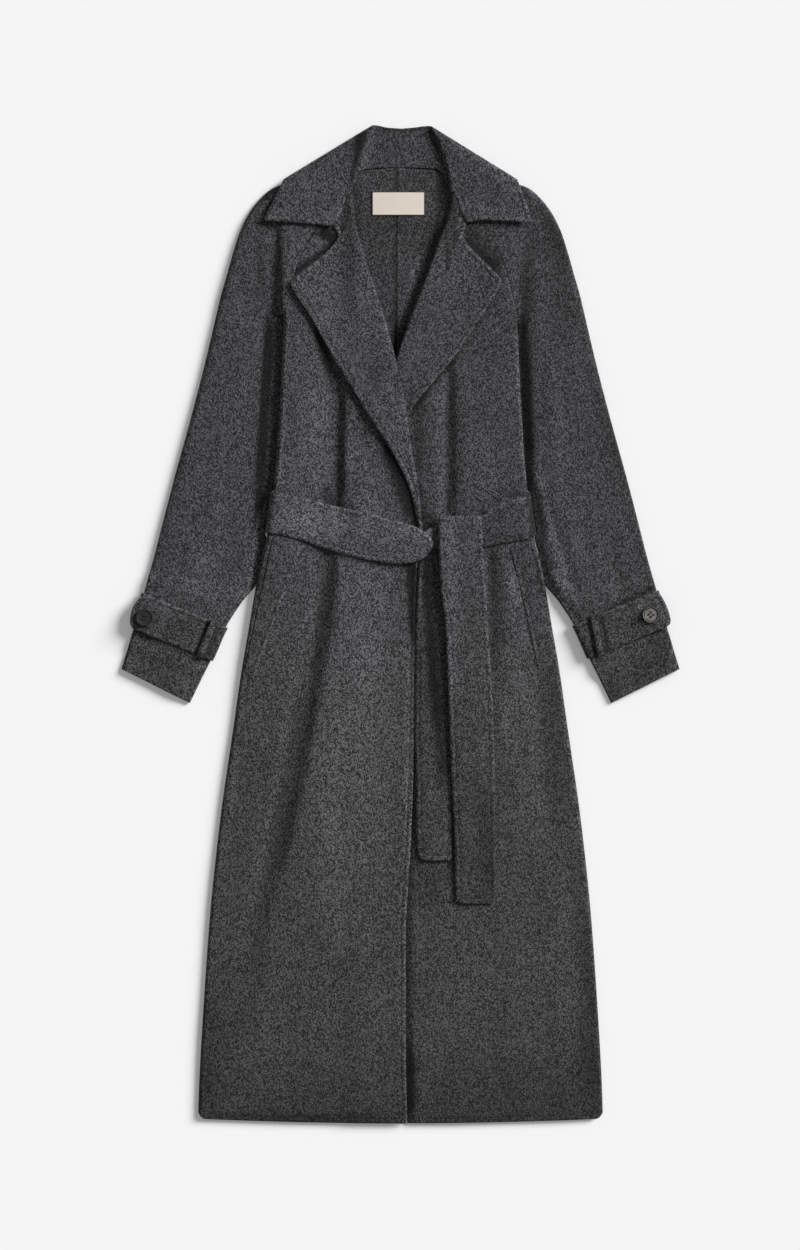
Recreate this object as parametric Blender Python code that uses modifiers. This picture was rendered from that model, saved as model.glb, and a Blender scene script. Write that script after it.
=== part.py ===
"""Long belted wrap coat, lying flat on its back with its front up.

X runs across the coat, +Y towards the collar and +Z up, with the floor at zero.
Every size is in millimetres until a piece's mesh is made. Left means -X.
"""

from collections import namedtuple
from math import cos, hypot, pi, sin, sqrt

import bmesh
import bpy
from mathutils import Vector

MM = 0.001
WELD = 0.01

# Walls of cloth, and the gaps between them
CLOTH = 1.8
COLLAR_CLOTH = 2.2
BELT_CLOTH = 2.4
WELT_CLOTH = 1.6
LABEL_CLOTH = 0.6
SEAM = 0.4
LAYER_GAP = 0.7
WELT_GAP = 0.45

# Levels of the middle of the cloth above the floor, and what lifts it
FLOOR_LEVEL = CLOTH / 2
FRONT_LEVEL = 6.6
HEM_SETTLING = 0.4
HEM_SETTLING_ZONE = (-300.0, -600.0)
BELT_LIFT = 2.9
BELT_MARGIN = (6.0, 32.0)
COLLAR_LIFT = 2.7
COLLAR_MARGIN = (10.0, 34.0)

# Where the upper front lies over the lower one, and over its lapel
OVERLAP_RISE = CLOTH + 0.8
OVERLAP_BAND = (-82.0, -52.0)
CROSSING_RISE = 3.6
CROSSING_BAND = (-34.0, -6.0)
CROSSING_FOOT = (88.0, 118.0)
CROSSING_HEAD = (408.0, 346.0)

# The body: its hem, underarm, neck and rounded sides
HEM_Y = -639.2
HEM_HALF_WIDTH = 259.5
HEM_SIDE_LIFT = 6.0
HEM_CORNER = 9.0
HEM_REACH = 90.0
UNDERARM_Y = 390.0
UNDERARM_FADE = 0.35
NECK_SEAM_Y = 585.0
CENTRE_BACK_X = -3.8
CROWN_BAND = (10.0, 70.0)
SIDE_ROUND = 8.0
BACK_CURL = 45.0
BACK_CURL_POWER = 1.25
BACK_END = 2.5
BACK_UNDER_RIM = 1.1
FOLD_FADE = 0.22

Edge = namedtuple("Edge", "y half_width rim crown")
BODY_EDGE = [
    Edge(-645, 259.5, 2.2, 6.2),
    Edge(-580, 257.5, 2.2, 6.2),
    Edge(-475, 251.5, 2.2, 6.3),
    Edge(-366, 243.5, 2.3, 6.4),
    Edge(-250, 231.0, 2.4, 6.6),
    Edge(-135, 214.5, 2.8, 6.9),
    Edge(-56, 203.0, 4.2, 7.7),
    Edge(-4, 194.0, 5.8, 8.4),
    Edge(41, 186.5, 6.6, 8.8),
    Edge(82, 178.5, 6.6, 8.8),
    Edge(120, 169.5, 6.6, 8.8),
    Edge(172, 162.5, 6.6, 8.8),
    Edge(223, 158.0, 6.6, 8.8),
    Edge(287, 154.0, 6.6, 8.8),
    Edge(350, 151.0, 6.6, 8.8),
    Edge(390, 149.5, 6.6, 8.8),
    Edge(660, 149.5, 6.6, 8.8),
]

FrontEdge = namedtuple("FrontEdge", "y left right")
FRONT_EDGE = [
    FrontEdge(-645, 8.0, -30.0),
    FrontEdge(-545, 6.0, -30.0),
    FrontEdge(-407, 6.0, -31.0),
    FrontEdge(-268, 13.0, -33.0),
    FrontEdge(-148, 17.0, -36.0),
    FrontEdge(-20, 20.0, -39.0),
    FrontEdge(60, 22.0, -41.0),
    FrontEdge(118, 27.5, -43.0),
]

# Side seam and raglan seam, roll line, and the lapel's outer edge from break to gorge
Opening = namedtuple("Opening", "side_x side_y roll_x roll_y edge_x edge_y corner")
LEFT_OPENING = [
    Opening(169.9, 118, 27.5, 118, 24.0, 121, False),
    Opening(162.5, 172, 22.5, 172, 14.5, 167, False),
    Opening(158.0, 223, 16.5, 222, -7.5, 211, False),
    Opening(154.5, 280, 6.0, 282, -45.4, 270, False),
    Opening(152.0, 335, -8.0, 342, -88.0, 343, False),
    Opening(149.5, 390, -24.0, 400, -118.5, 392, False),
    Opening(145.0, 411, -35.5, 436, -135.2, 419, False),
    Opening(139.5, 434, -43.5, 459, -141.5, 435.5, True),
    Opening(132.5, 458, -51.5, 485, -122.0, 450.5, False),
    Opening(123.0, 482, -57.0, 505, -103.0, 467, False),
    Opening(110.5, 505.5, -59.8, 521, -89.0, 479, False),
    Opening(97.0, 525, -61.5, 533, -76.5, 490.5, True),
    Opening(82.0, 542, -62.5, 543, -80.5, 499.5, False),
    Opening(70.0, 555, -63.0, 550, -85.0, 508.5, True),
]
RIGHT_OPENING = [
    Opening(169.9, 118, -43.0, 118, -39.5, 121, False),
    Opening(162.5, 172, -36.5, 172, -28.0, 166, False),
    Opening(158.0, 223, -28.5, 222, -4.0, 211, False),
    Opening(154.5, 280, -18.0, 282, 27.0, 266, False),
    Opening(152.0, 335, -5.5, 339, 78.0, 348, False),
    Opening(149.5, 390, 11.5, 391, 103.0, 389, False),
    Opening(145.0, 411, 23.5, 422, 121.5, 418, False),
    Opening(139.5, 434, 33.0, 447, 129.5, 440, True),
    Opening(132.5, 458, 42.5, 472, 115.5, 453, False),
    Opening(123.0, 482, 53.0, 499, 101.5, 467.5, False),
    Opening(110.5, 505.5, 60.5, 518, 89.0, 480, False),
    Opening(97.0, 525, 63.5, 531, 77.5, 493, True),
    Opening(82.0, 542, 65.0, 542, 80.5, 503, False),
    Opening(70.0, 555, 65.5, 550, 84.5, 513.5, True),
]
OPENINGS = {-1: LEFT_OPENING, 1: RIGHT_OPENING}

Arm = namedtuple("Arm", "outer_x outer_y inner_x inner_y")
ARM = [
    Arm(357.0, -58, 271.0, -101),
    Arm(349.5, -34, 257.5, -73),
    Arm(341.0, -6, 242.5, -43),
    Arm(333.0, 21, 226.0, -6),
    Arm(325.0, 50, 206.0, 26),
    Arm(314.0, 90, 184.5, 56),
    Arm(302.5, 135, 173.0, 98),
    Arm(289.0, 187, 162.5, 160),
    Arm(270.0, 256, 156.5, 232),
    Arm(250.0, 333, 151.5, 312),
    Arm(237.0, 388, 150.0, 366),
    Arm(229.0, 422, 149.5, 390),
    Arm(222.0, 446, 145.0, 411),
    Arm(214.5, 473, 139.5, 434),
    Arm(205.5, 501, 132.5, 458),
    Arm(194.5, 524, 123.0, 482),
    Arm(180.0, 543.5, 110.5, 505.5),
    Arm(162.0, 558.5, 97.0, 525),
    Arm(128.0, 567.5, 82.0, 542),
    Arm(80.0, 577.0, 70.0, 555),
]

# The sleeve: where its inner edge tucks in, its folds, and its rows of the table above
UNDERARM_ROW = 11
COLLAR_OVER_ROW = 9
SHOULDER_ROWS = (10, 14)
SHOULDER_RISE = 1.6
UNDERARM_RISE_ROWS = (9.4, 11.0)
SLEEVE_TUCK = 2.4
SLEEVE_CLEARANCE = 0.6
TUCK_ZONE = (40.0, 70.0)
UNDERARM_ZONE = (345.0, 385.0)
SLEEVE_OUTER_ROUND = 9.0
SLEEVE_FOLD = 1.25
BEND_SHARE = 0.3
FOLD_SHARE = 0.1
SLEEVE_UPPER = 6.2
OUTER_FOLD_SHARE = 0.45
LOWER_BLEND = 26.0
UPPER_BLEND = 30.0

BackSeam = namedtuple("BackSeam", "row x y")
BACK_RAGLAN = [
    BackSeam(11, 149.5, 390),
    BackSeam(13, 141.0, 432),
    BackSeam(15, 126.0, 476),
    BackSeam(17, 99.0, 524),
    BackSeam(18, 78.0, 551),
    BackSeam(19, 55.0, 581),
]

# Hidden outer edge of the collar under the back, by distance from the centre
CollarReach = namedtuple("CollarReach", "x y")
COLLAR_REACH = [
    CollarReach(0, 530),
    CollarReach(45, 531),
    CollarReach(90, 538),
    CollarReach(120, 546),
    CollarReach(142, 554),
    CollarReach(158, 557),
    CollarReach(178, 640),
]

# Collar from centre back to its front end: neck seam, roll line and outer edge
CollarRow = namedtuple("CollarRow", "neck_x neck_y neck_z roll_x roll_y low high edge_x edge_y edge_z")
COLLAR_RIGHT = [
    CollarRow(0.5, 585.5, 3.9, 0.5, 634.0, 4.3, 1.1, 0.5, 530, 1.1),
    CollarRow(18, 585.2, 3.9, 18, 635.5, 4.3, 1.1, 42, 530.5, 1.1),
    CollarRow(32, 584.5, 4.0, 29, 637.0, 4.5, 1.1, 96, 539.5, 1.1),
    CollarRow(40, 583.5, 4.3, 33, 637.2, 5.0, 1.6, 143, 563, 1.1),
    CollarRow(45, 583.3, 5.0, 38, 637.0, 6.0, 6.4, 147.5, 569.5, 6.2),
    CollarRow(50, 581.5, 6.0, 43, 629.5, 6.6, 11.0, 151, 562.5, 11.0),
    CollarRow(55, 576.5, 6.4, 49.5, 616.5, 6.8, 11.6, 154.5, 553, 11.0),
    CollarRow(59, 569.0, 6.4, 56.5, 598.0, 6.9, 11.8, 159.5, 539, 11.0),
    CollarRow(61.5, 561.5, 6.6, 62.0, 576.0, 6.9, 11.8, 163.5, 526.5, 11.0),
    CollarRow(62.0, 554.5, 6.9, 65.5, 552.6, 7.2, 11.8, 167.3, 515.0, 11.0),
]
COLLAR_LEFT = [
    CollarRow(0.5, 585.5, 3.9, 0.5, 634.0, 4.3, 1.1, 0.5, 530, 1.1),
    CollarRow(-18, 585.2, 3.9, -18, 635.5, 4.3, 1.1, -42, 530.5, 1.1),
    CollarRow(-32, 584.5, 4.0, -27, 637.5, 4.5, 1.1, -96, 539.5, 1.1),
    CollarRow(-40, 583.5, 4.3, -31, 638.2, 5.0, 1.6, -143, 563, 1.1),
    CollarRow(-45, 583.3, 5.0, -35, 638.0, 6.0, 6.4, -148.0, 569.5, 6.2),
    CollarRow(-50, 581.5, 6.0, -40, 630.5, 6.6, 11.0, -151.5, 562.5, 11.0),
    CollarRow(-54, 576.5, 6.4, -46, 616.5, 6.8, 11.6, -156.5, 552, 11.0),
    CollarRow(-57.5, 569.0, 6.4, -53, 598.0, 6.9, 11.8, -163.5, 538, 11.0),
    CollarRow(-59.5, 561.5, 6.6, -60, 576.0, 6.9, 11.8, -169.5, 527.0, 11.0),
    CollarRow(-60.0, 554.5, 6.9, -63.0, 552.4, 7.2, 11.8, -174.0, 518.0, 11.0),
]
COLLARS = {-1: COLLAR_LEFT, 1: COLLAR_RIGHT}
# The collar's front end: along the gorge, then free to the tip
CollarEnd = namedtuple("CollarEnd", "along left_x left_y right_x right_y")
COLLAR_END = [
    CollarEnd(0.25, -85.5, 509.6, 85.0, 514.6),
    CollarEnd(0.50, -112.0, 515.0, 108.0, 520.0),
    CollarEnd(0.75, -145.0, 517.5, 137.0, 518.0),
    CollarEnd(1.00, -174.0, 518.0, 167.3, 515.0),
]

COLLAR_ROLL_MIN = 1.7
STAND_MIN = 0.6
STAND_END_STEPS = (7.6, 9.0)
FALL_END_STEPS = (9.0, 6.8)

# Long soft folds in the cloth: a ridge from start to end, wide and high as given
Fold = namedtuple("Fold", "start_x start_y end_x end_y wide high")
BODY_FOLDS = [
    Fold(-84, 310, -80, 152, 15, 2.2),
    Fold(-76, 84, -140, -280, 17, 3.0),
    Fold(-10, 78, -2, -200, 16, 1.6),
    Fold(76, 330, 74, 145, 17, 1.6),
    Fold(134, 90, 152, -60, 16, 1.6),
    Fold(60, -120, 90, -520, 24, 1.8),
    Fold(-190, -250, -215, -600, 24, 1.6),
    Fold(190, -200, 214, -600, 24, 1.6),
]
ARM_FOLDS = [
    Fold(175, 330, 196, 180, 17, 1.8),
    Fold(262, 180, 214, 60, 16, 2.4),
    Fold(286, 120, 246, 20, 15, 2.2),
    Fold(205, 480, 176, 400, 16, 1.6),
]

# The belt: stretches across the front from top to lower edge, then the hanging ends
BACK_STRETCH = (116.0, 169.0)
BELT_ZONE = (106.0, 182.0)
BELT_ZONE_FADE = 22.0
BELT_BULGE = 2.6
BELT_WRAP_DEPTH = 14.0
BELT_WRAP_SQUARE = 0.77
BELT_AT_BEND = {-1: (115.5, 166.0), 1: (108.0, 162.0)}
BELT_SOFTNESS = 0.3
END_LOOP = 1.8
END_LOOP_FLAT = 1.45
END_LOOP_ANGLES = (0.6 * pi, 0.4 * pi, 0.2 * pi, 0.0)
STEP_BAND = (20.0, 2.0)

Across = namedtuple("Across", "top_x top_y low_x low_y rise")
LEFT_STRETCH = [
    Across(-129, 161, -129, 109, 0.0),
    Across(-106, 155.5, -104, 100, 0.0),
    Across(-84, 150, -79, 91.5, 0.0),
    Across(-60, 144.5, -54, 85.5, 0.4),
    Across(-36, 139, -30, 80.5, 1.4),
    Across(-14, 132.5, -8, 78, 2.6),
    Across(8, 126.5, 12, 78.5, 3.4),
    Across(24, 121, 26, 83, 3.4),
    Across(36, 114, 36, 92, 3.2),
    Across(40.5, 106, 40.5, 101, 2.8),
]
RIGHT_STRETCH = [
    Across(62, 128, 64, 90, 0.0),
    Across(80, 130, 82, 93, 0.0),
    Across(102, 137, 104, 98.5, 0.0),
    Across(112, 145.5, 118, 101.5, 0.0),
    Across(127, 155, 134, 104.5, 0.0),
]
KNOT = [
    Across(-4, 108, 0, 92, 0.3),
    Across(12, 110, 14, 91, 0.3),
    Across(26, 113, 27, 91, 0.2),
    Across(33, 119, 33, 91, 0.0),
    Across(42, 123.5, 42, 91, 0.0),
    Across(50, 126, 50, 91, 0.0),
    Across(58, 128, 58, 91, 0.0),
]

Hang = namedtuple("Hang", "y left right rise")
LONG_END = [
    Hang(138.5, 49.5, 101.5, 3.6),
    Hang(128, 49.0, 102.5, 4.4),
    Hang(110, 49.0, 103.5, 4.0),
    Hang(80, 50.0, 105.0, 3.4),
    Hang(40, 52.5, 108.0, 3.2),
    Hang(5, 57.5, 110.0, 3.2),
    Hang(-67, 61.0, 115.0, 3.2),
    Hang(-120, 63.0, 117.5, 3.2),
    Hang(-174, 65.0, 119.0, 3.2),
    Hang(-246, 68.5, 120.0, 3.2),
    Hang(-290, 70.0, 120.5, 3.2),
    Hang(-325, 70.6, 121.0, 0.0),
    Hang(-357, 71.0, 121.0, 0.0),
]
SHORT_END = [
    Hang(89.5, 27, 60, 0.0),
    Hang(76, 24.5, 70, 0.0),
    Hang(50, 23.5, 73, 0.0),
    Hang(13, 22, 72, 0.0),
    Hang(-67, 20, 68, 0.0),
    Hang(-138, 20, 66, 0.0),
    Hang(-200, 20.5, 66, 0.0),
    Hang(-260, 21, 66, 0.0),
    Hang(-302, 23.5, 66, 0.0),
]

WeltRow = namedtuple("WeltRow", "outer_x outer_y inner_x inner_y")
LEFT_WELT = [
    WeltRow(-162, 111, -128, 97),
    WeltRow(-174, 58, -148, 43),
    WeltRow(-186.5, 0, -169, -16),
    WeltRow(-199.5, -62, -190, -72),
]
RIGHT_WELT = [
    WeltRow(164, 108, 140, 97),
    WeltRow(175.5, 50, 154, 43),
    WeltRow(186.5, 0, 166, -14),
    WeltRow(198.5, -50, 176.5, -58.5),
]

# Cuff strap across the sleeve, at a row of the sleeve's table, with its tab, loop and button
OUTER, INNER = 0, 1
STRAP_ROW = 2.62
STRAP_WIDTH = 43.0
STRAP_BEND = 9.0
STRAP_SQUARE = 0.68
STRAP_COVER = 1.35
STRAP_COVER_FADE = 0.45
STRAP_LIFT = 3.3
STRAP_UPPER_LIFT = 2.4
STRAP_TOP = SLEEVE_UPPER + STRAP_UPPER_LIFT + CLOTH / 2 + LAYER_GAP + BELT_CLOTH
STRAP_STEP_AT = 0.71
STRAP_TAB_REACH = 4.0
STRAP_TAB_POINT = 8.0
STRAP_TAB_DROP = 0.6
LOOP_LENGTH = 53.0
LOOP_WIDTH = 11.5
LOOP_INSET = 17.0
LOOP_END_GAP = 0.6

BUTTON_AT = 0.925
BUTTON_GAP = 0.4
BUTTON_RADIUS = 11.2
BUTTON_THICK = 3.4
BUTTON_RIM = 1.9
BUTTON_DISH = 1.1
BUTTON_HOLE_RADIUS = 0.95
BUTTON_HOLE_SPREAD = 2.2
Turned = namedtuple("Turned", "radius height")
BUTTON_PROFILE = [
    Turned(0.0, 0.0),
    Turned(BUTTON_RADIUS - 1.2, 0.0),
    Turned(BUTTON_RADIUS, 1.2),
    Turned(BUTTON_RADIUS, BUTTON_THICK - 0.8),
    Turned(BUTTON_RADIUS - 0.8, BUTTON_THICK),
    Turned(BUTTON_RADIUS - BUTTON_RIM, BUTTON_THICK - 0.3),
    Turned(BUTTON_RADIUS - BUTTON_RIM - 1.4, BUTTON_THICK - BUTTON_DISH),
    Turned(0.0, BUTTON_THICK - BUTTON_DISH),
]

Label = namedtuple("Label", "left right low high")
LABEL = Label(-36.5, 31.0, 523.5, 554.0)

# Rolled edge of the lapel: its radius grows up the opening's rows
Lapel = namedtuple("Lapel", "edge radius outward")
ROLL_RADIUS = 1.6
ROLL_GROWTH = 0.6
ROLL_GROWTH_STEPS = (3, 6)
LAPEL_SETTLED = 0.77

# How finely each piece is divided, by height, by row of its table or by share of its width
LOWER_ROWS = [HEM_Y, -628, -570, -480, -390, -300, -225, -150, -95, -45, 0, 40, 80, 100]
UPPER_STEPS = [0, 0.5, 1, 1.5, 2, 3, 4, 5, 6, 6.5, 7, 7.5, 8, 9, 10, 11, 11.5, 12, 13]
RAGLAN_STEPS = [step for step in UPPER_STEPS if step >= 5]
NECK_STEP = UPPER_STEPS[-1]
BACK_ROWS = [HEM_Y, -628, -520, -400, -280, -160, -60, 20, 80, 95, 110, 142, 175, 190, 206, 260, 330]
BACK_SEAM_ROWS = [11, 12, 13, 14, 15, 16, 17, 17.5, 18, 19]
CLOSE_COLUMN = 1.5
CLOSE_BAND = 18.0
NARROW_BAND = (40.0, 110.0)
FRONT_COLUMNS = [0.11, 0.23, 0.35, 0.47, 0.6, 0.73, 0.86, 1.0]
BACK_COLUMNS = [0.15, 0.4, 0.7, 1.0]
LAPEL_COLUMNS = [0.25, 0.5, 0.75, 1.0]
ROLL_STEPS = 4
SLEEVE_ROWS = [0, 0.8, 1.5, 2.1, 2.7, 3.3, 4, 4.6, 5.2, 6, 7, 8, 9, 9.7, 10.4, 11]
SLEEVE_LOWER_COLUMNS = [0.0, 0.18, 0.5, 0.85]
SLEEVE_BEND_COLUMNS = [1.0, 0.45, 0.12]
SLEEVE_UPPER_COLUMNS = [0.8, 0.6, 0.42, 0.26, 0.12, 0.0]
COLLAR_STEPS = [0, 1, 2, 2.6, 3.2, 3.6, 4, 4.5, 5, 6, 7, 8, 9]
STAND_COLUMNS = [0.0, 0.34, 0.67]
FALL_COLUMNS = [0.12, 0.25, 0.5, 0.75, 1.0]
BELT_COLUMNS = 4
BELT_WRAP_STEPS = 8
BACK_STRETCH_STEPS = 10
WELT_STEPS = 6
WELT_COLUMNS = 3
LABEL_ROWS = 3
LABEL_COLUMNS = 6
EDGE_TRIALS = 24
STRAP_TURN_STEPS = 6
STRAP_UNDER_TAB = [0.80, 0.9]
STRAP_BELOW = [0.72, 0.5, 0.28]
STRAP_ABOVE = [0.22, 0.36, 0.5, 0.62]
STRAP_TAB = [0.80, 0.90, 1.0]
LOOP_COLUMNS = [-0.5, -0.44, -0.2, 0.0, 0.2, 0.44, 0.5]
BUTTON_STEPS = 20
BUTTON_HOLE_SIDES = 6


def ease(t):
    """Soft step from 0 to 1."""
    t = min(max(t, 0.0), 1.0)
    return t * t * (3 - 2 * t)


def ramp(value, start, stop):
    """Soft step from 0 at one value to 1 at another."""
    return ease((value - start) / (stop - start))


def dome(t):
    """Quarter circle from 0 to 1."""
    t = min(max(t, 0.0), 1.0)
    return sqrt(1 - (1 - t) ** 2)


def mix(a, b, t):
    return a + (b - a) * t


def curve(values, keys, i, at):
    """Cubic through neighbouring values, whose slopes never overshoot."""
    step = keys[i + 1] - keys[i]
    rise = (values[i + 1] - values[i]) / step

    def slope(k):
        if k == 0 or k == len(keys) - 1:
            return rise
        before = (values[k] - values[k - 1]) / (keys[k] - keys[k - 1])
        after = (values[k + 1] - values[k]) / (keys[k + 1] - keys[k])
        return 0.0 if before * after <= 0 else 2 * before * after / (before + after)

    t = (at - keys[i]) / step
    start, end = slope(i), slope(i + 1)
    return (values[i] * (1 + 2 * t) * (1 - t) ** 2 + start * step * t * (1 - t) ** 2
            + values[i + 1] * t * t * (3 - 2 * t) + end * step * t * t * (t - 1))


def between(table, key, name, at):
    """A column of a table, read smoothly at any value of its key column."""
    keys = [getattr(row, key) for row in table]
    if at <= keys[0]:
        return getattr(table[0], name)
    if at >= keys[-1]:
        return getattr(table[-1], name)
    i = max(k for k in range(len(keys) - 1) if keys[k] <= at)
    return curve([getattr(row, name) for row in table], keys, i, at)


def along(table, name, at, corner=None):
    """A column of a table, read smoothly by row number, with a sharp turn at marked rows."""
    last = len(table) - 1
    i = min(int(at), last - 1)
    first, stop = 0, last
    if corner:
        marked = [k for k, row in enumerate(table) if getattr(row, corner)]
        first = max([k for k in marked if k <= i], default=0)
        stop = min([k for k in marked if k >= i + 1], default=last)
    rows = table[first:stop + 1]
    values = [getattr(row, name) for row in rows]
    return curve(values, list(range(len(rows))), i - first, at - first)


def fold_height(folds, x, y):
    """Height that the soft folds add at a point."""
    total = 0.0
    for fold in folds:
        run = Vector((fold.end_x - fold.start_x, fold.end_y - fold.start_y))
        off = Vector((x - fold.start_x, y - fold.start_y))
        t = off.dot(run) / run.length_squared
        aside = abs(off.cross(run)) / run.length
        fade = ramp(t, -FOLD_FADE, FOLD_FADE) * ramp(t, 1 + FOLD_FADE, 1 - FOLD_FADE)
        total += fold.high * fade * ramp(aside, 2 * fold.wide, 0)
    return total


def half_width(y):
    """Half the body's width."""
    return between(BODY_EDGE, "y", "half_width", y)


def side_distance(x, y):
    """Distance in from the body's side edge, or from the underarm above it."""
    if y <= UNDERARM_Y:
        return half_width(y) - abs(x)
    return hypot(max(half_width(UNDERARM_Y) - abs(x), 0.0), UNDERARM_FADE * (y - UNDERARM_Y))


def side_rim(y):
    """Level of the side seam."""
    return between(BODY_EDGE, "y", "rim", y)


def under_level(x, y):
    """Middle of the cloth of the lower front."""
    crown = between(BODY_EDGE, "y", "crown", y)
    inner = FRONT_LEVEL - HEM_SETTLING * ramp(y, *HEM_SETTLING_ZONE)
    level = mix(crown, inner, ramp(half_width(y) - abs(x), *CROWN_BAND))
    level += fold_height(BODY_FOLDS, x, y)
    rim = side_rim(y)
    return rim + (level - rim) * dome((side_distance(x, y) - CLOTH / 2) / SIDE_ROUND)


def lapel_crossing(x, y):
    """Share of the rise where the upper front passes over the lower front's lapel."""
    right_roll = between(RIGHT_OPENING, "roll_y", "roll_x", y)
    sideways = ramp(x - right_roll, *CROSSING_BAND)
    return sideways * ramp(y, *CROSSING_FOOT) * ramp(y, *CROSSING_HEAD)


def over_level(x, y):
    """Middle of the cloth of the upper front."""
    lap = ramp(x, *OVERLAP_BAND)
    return under_level(x, y) + OVERLAP_RISE * lap + CROSSING_RISE * lapel_crossing(x, y)


def front_level(side, x, y):
    return over_level(x, y) if side < 0 else under_level(x, y)


def floor_level(x, y):
    """Middle of the lowest layer of cloth, lifted where the belt or the collar lies under it."""
    low, high = BACK_STRETCH
    full, none = BELT_MARGIN
    belt = ramp(y, low - none, low - full) * ramp(y, high + none, high + full)
    full, none = COLLAR_MARGIN
    reach = between(COLLAR_REACH, "x", "y", abs(x))
    collar = ramp(y, reach - none, reach - full)
    return FLOOR_LEVEL + BELT_LIFT * belt + COLLAR_LIFT * collar


def back_level(x, y):
    """Middle of the back's cloth, which curls up to the side seam."""
    floor = floor_level(x, y)
    end = side_rim(y) - BACK_UNDER_RIM
    curl = max(1 - (side_distance(x, y) - BACK_END) / BACK_CURL, 0.0)
    return floor + max(end - floor, 0.0) * min(curl, 1.0) ** BACK_CURL_POWER


def on_hem(at):
    """Moves a point near the hem to the hem's slight curve and rounded corners."""
    near = ramp(at.y, HEM_Y + HEM_REACH, HEM_Y)
    corner = max(1 - (half_width(at.y) - abs(at.x)) / HEM_CORNER, 0.0)
    lift = HEM_SIDE_LIFT * (at.x / HEM_HALF_WIDTH) ** 2 + HEM_CORNER * corner ** 2
    return Vector((at.x, at.y + near * lift))


def spread(width, fractions):
    """Columns kept close to the rounded side edge, evened out where the piece is narrow."""
    close = [0.0, CLOSE_COLUMN, SIDE_ROUND / 2, SIDE_ROUND, CLOSE_BAND]
    count = len(close) + len(fractions)
    even = [k / (count - 1) for k in range(count)]
    wide = [c / width for c in close] + [mix(CLOSE_BAND / width, 1.0, f) for f in fractions]
    t = ramp(width, *NARROW_BAND)
    return [mix(e, w, t) for e, w in zip(even, wide)]


def seam_shift(points, k, gap):
    """A point of a seam, moved aside square to the seam's run."""
    before = points[max(k - 1, 0)]
    after = points[min(k + 1, len(points) - 1)]
    run = (after - before).normalized()
    return points[k] + Vector((-run.y, run.x)) * gap


def front_seam(side, steps):
    """The front raglan seam at some rows of the opening's table."""
    return [Vector((side * along(LEFT_OPENING, "side_x", step), along(LEFT_OPENING, "side_y", step)))
            for step in steps]


def back_seam(side, rows):
    """The back raglan seam at some rows of the sleeve."""
    return [Vector((side * between(BACK_RAGLAN, "row", "x", row), between(BACK_RAGLAN, "row", "y", row)))
            for row in rows]


def front_row(side, side_at, edge_at, lapel=None):
    """One row of points of a front, from the side to its edge, and on over the lapel."""
    stop = edge_at - lapel.outward * lapel.radius if lapel else edge_at
    points = []
    for f in spread((edge_at - side_at).length, FRONT_COLUMNS):
        at = on_hem(side_at.lerp(stop, f))
        points.append(Vector((at.x, at.y, front_level(side, at.x, at.y))))
    if not lapel:
        return points
    base = points[-1].z
    for k in range(1, ROLL_STEPS + 1):
        angle = pi * k / ROLL_STEPS
        at = stop + lapel.outward * lapel.radius * sin(angle)
        points.append(Vector((at.x, at.y, base + lapel.radius * (1 - cos(angle)))))
    for f in LAPEL_COLUMNS:
        at = stop.lerp(lapel.edge, f)
        lift = mix(2 * lapel.radius, CLOTH + LAYER_GAP, ramp(f, 0, LAPEL_SETTLED))
        points.append(Vector((at.x, at.y, front_level(side, at.x, at.y) + lift)))
    return points


def opening_row(side, step):
    """Points of the opening at a row: the side seam, the roll line and the lapel."""
    table = OPENINGS[side]
    roll_at = Vector((along(table, "roll_x", step), along(table, "roll_y", step)))
    ahead = min(step + 0.5, NECK_STEP)
    behind = max(step - 0.5, 0)
    run = Vector((along(table, "roll_x", ahead) - along(table, "roll_x", behind),
                  along(table, "roll_y", ahead) - along(table, "roll_y", behind))).normalized()
    edge = Vector((along(table, "edge_x", step, "corner"), along(table, "edge_y", step, "corner")))
    radius = ROLL_RADIUS + ROLL_GROWTH * ramp(step, *ROLL_GROWTH_STEPS)
    return roll_at, Lapel(edge, radius, Vector((run.y, -run.x)) * -side)


def front_rows(side):
    """Rows of one front, from the hem up to the neck."""
    edge_name = "left" if side < 0 else "right"
    rows = []
    for y in LOWER_ROWS:
        start = Vector((side * (half_width(y) - CLOTH / 2), y))
        rows.append(front_row(side, start, Vector((between(FRONT_EDGE, "y", edge_name, y), y))))
    seam = front_seam(side, RAGLAN_STEPS)
    for step in UPPER_STEPS:
        roll_at, lapel = opening_row(side, step)
        if step > RAGLAN_STEPS[0]:
            start = seam_shift(seam, RAGLAN_STEPS.index(step), side * SEAM / 2)
        else:
            y = along(LEFT_OPENING, "side_y", step)
            start = Vector((side * (half_width(y) - CLOTH / 2), y))
        rows.append(front_row(side, start, roll_at, lapel))
    return rows


def back_row(side_at, centre_at):
    """One row of points of a back, from the side to the centre back seam."""
    points = []
    for f in spread((centre_at - side_at).length, BACK_COLUMNS):
        at = on_hem(side_at.lerp(centre_at, f))
        points.append(Vector((at.x, at.y, back_level(at.x, at.y))))
    return points


def back_rows(side):
    """Rows of one back, from the hem up to the neck seam."""
    centre_x = CENTRE_BACK_X + side * SEAM / 2
    rows = []
    for y in BACK_ROWS:
        rows.append(back_row(Vector((side * (half_width(y) - BACK_END), y)), Vector((centre_x, y))))
    seam = back_seam(side, BACK_SEAM_ROWS)
    for k, point in enumerate(seam):
        start = seam_shift(seam, k, side * SEAM / 2)
        if k == 0:
            start = Vector((side * (half_width(UNDERARM_Y) - BACK_END), UNDERARM_Y - 1))
        share = (point.y - UNDERARM_Y) / (seam[-1].y - UNDERARM_Y)
        rows.append(back_row(start, Vector((centre_x, mix(UNDERARM_Y, NECK_SEAM_Y, share)))))
    return rows


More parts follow.
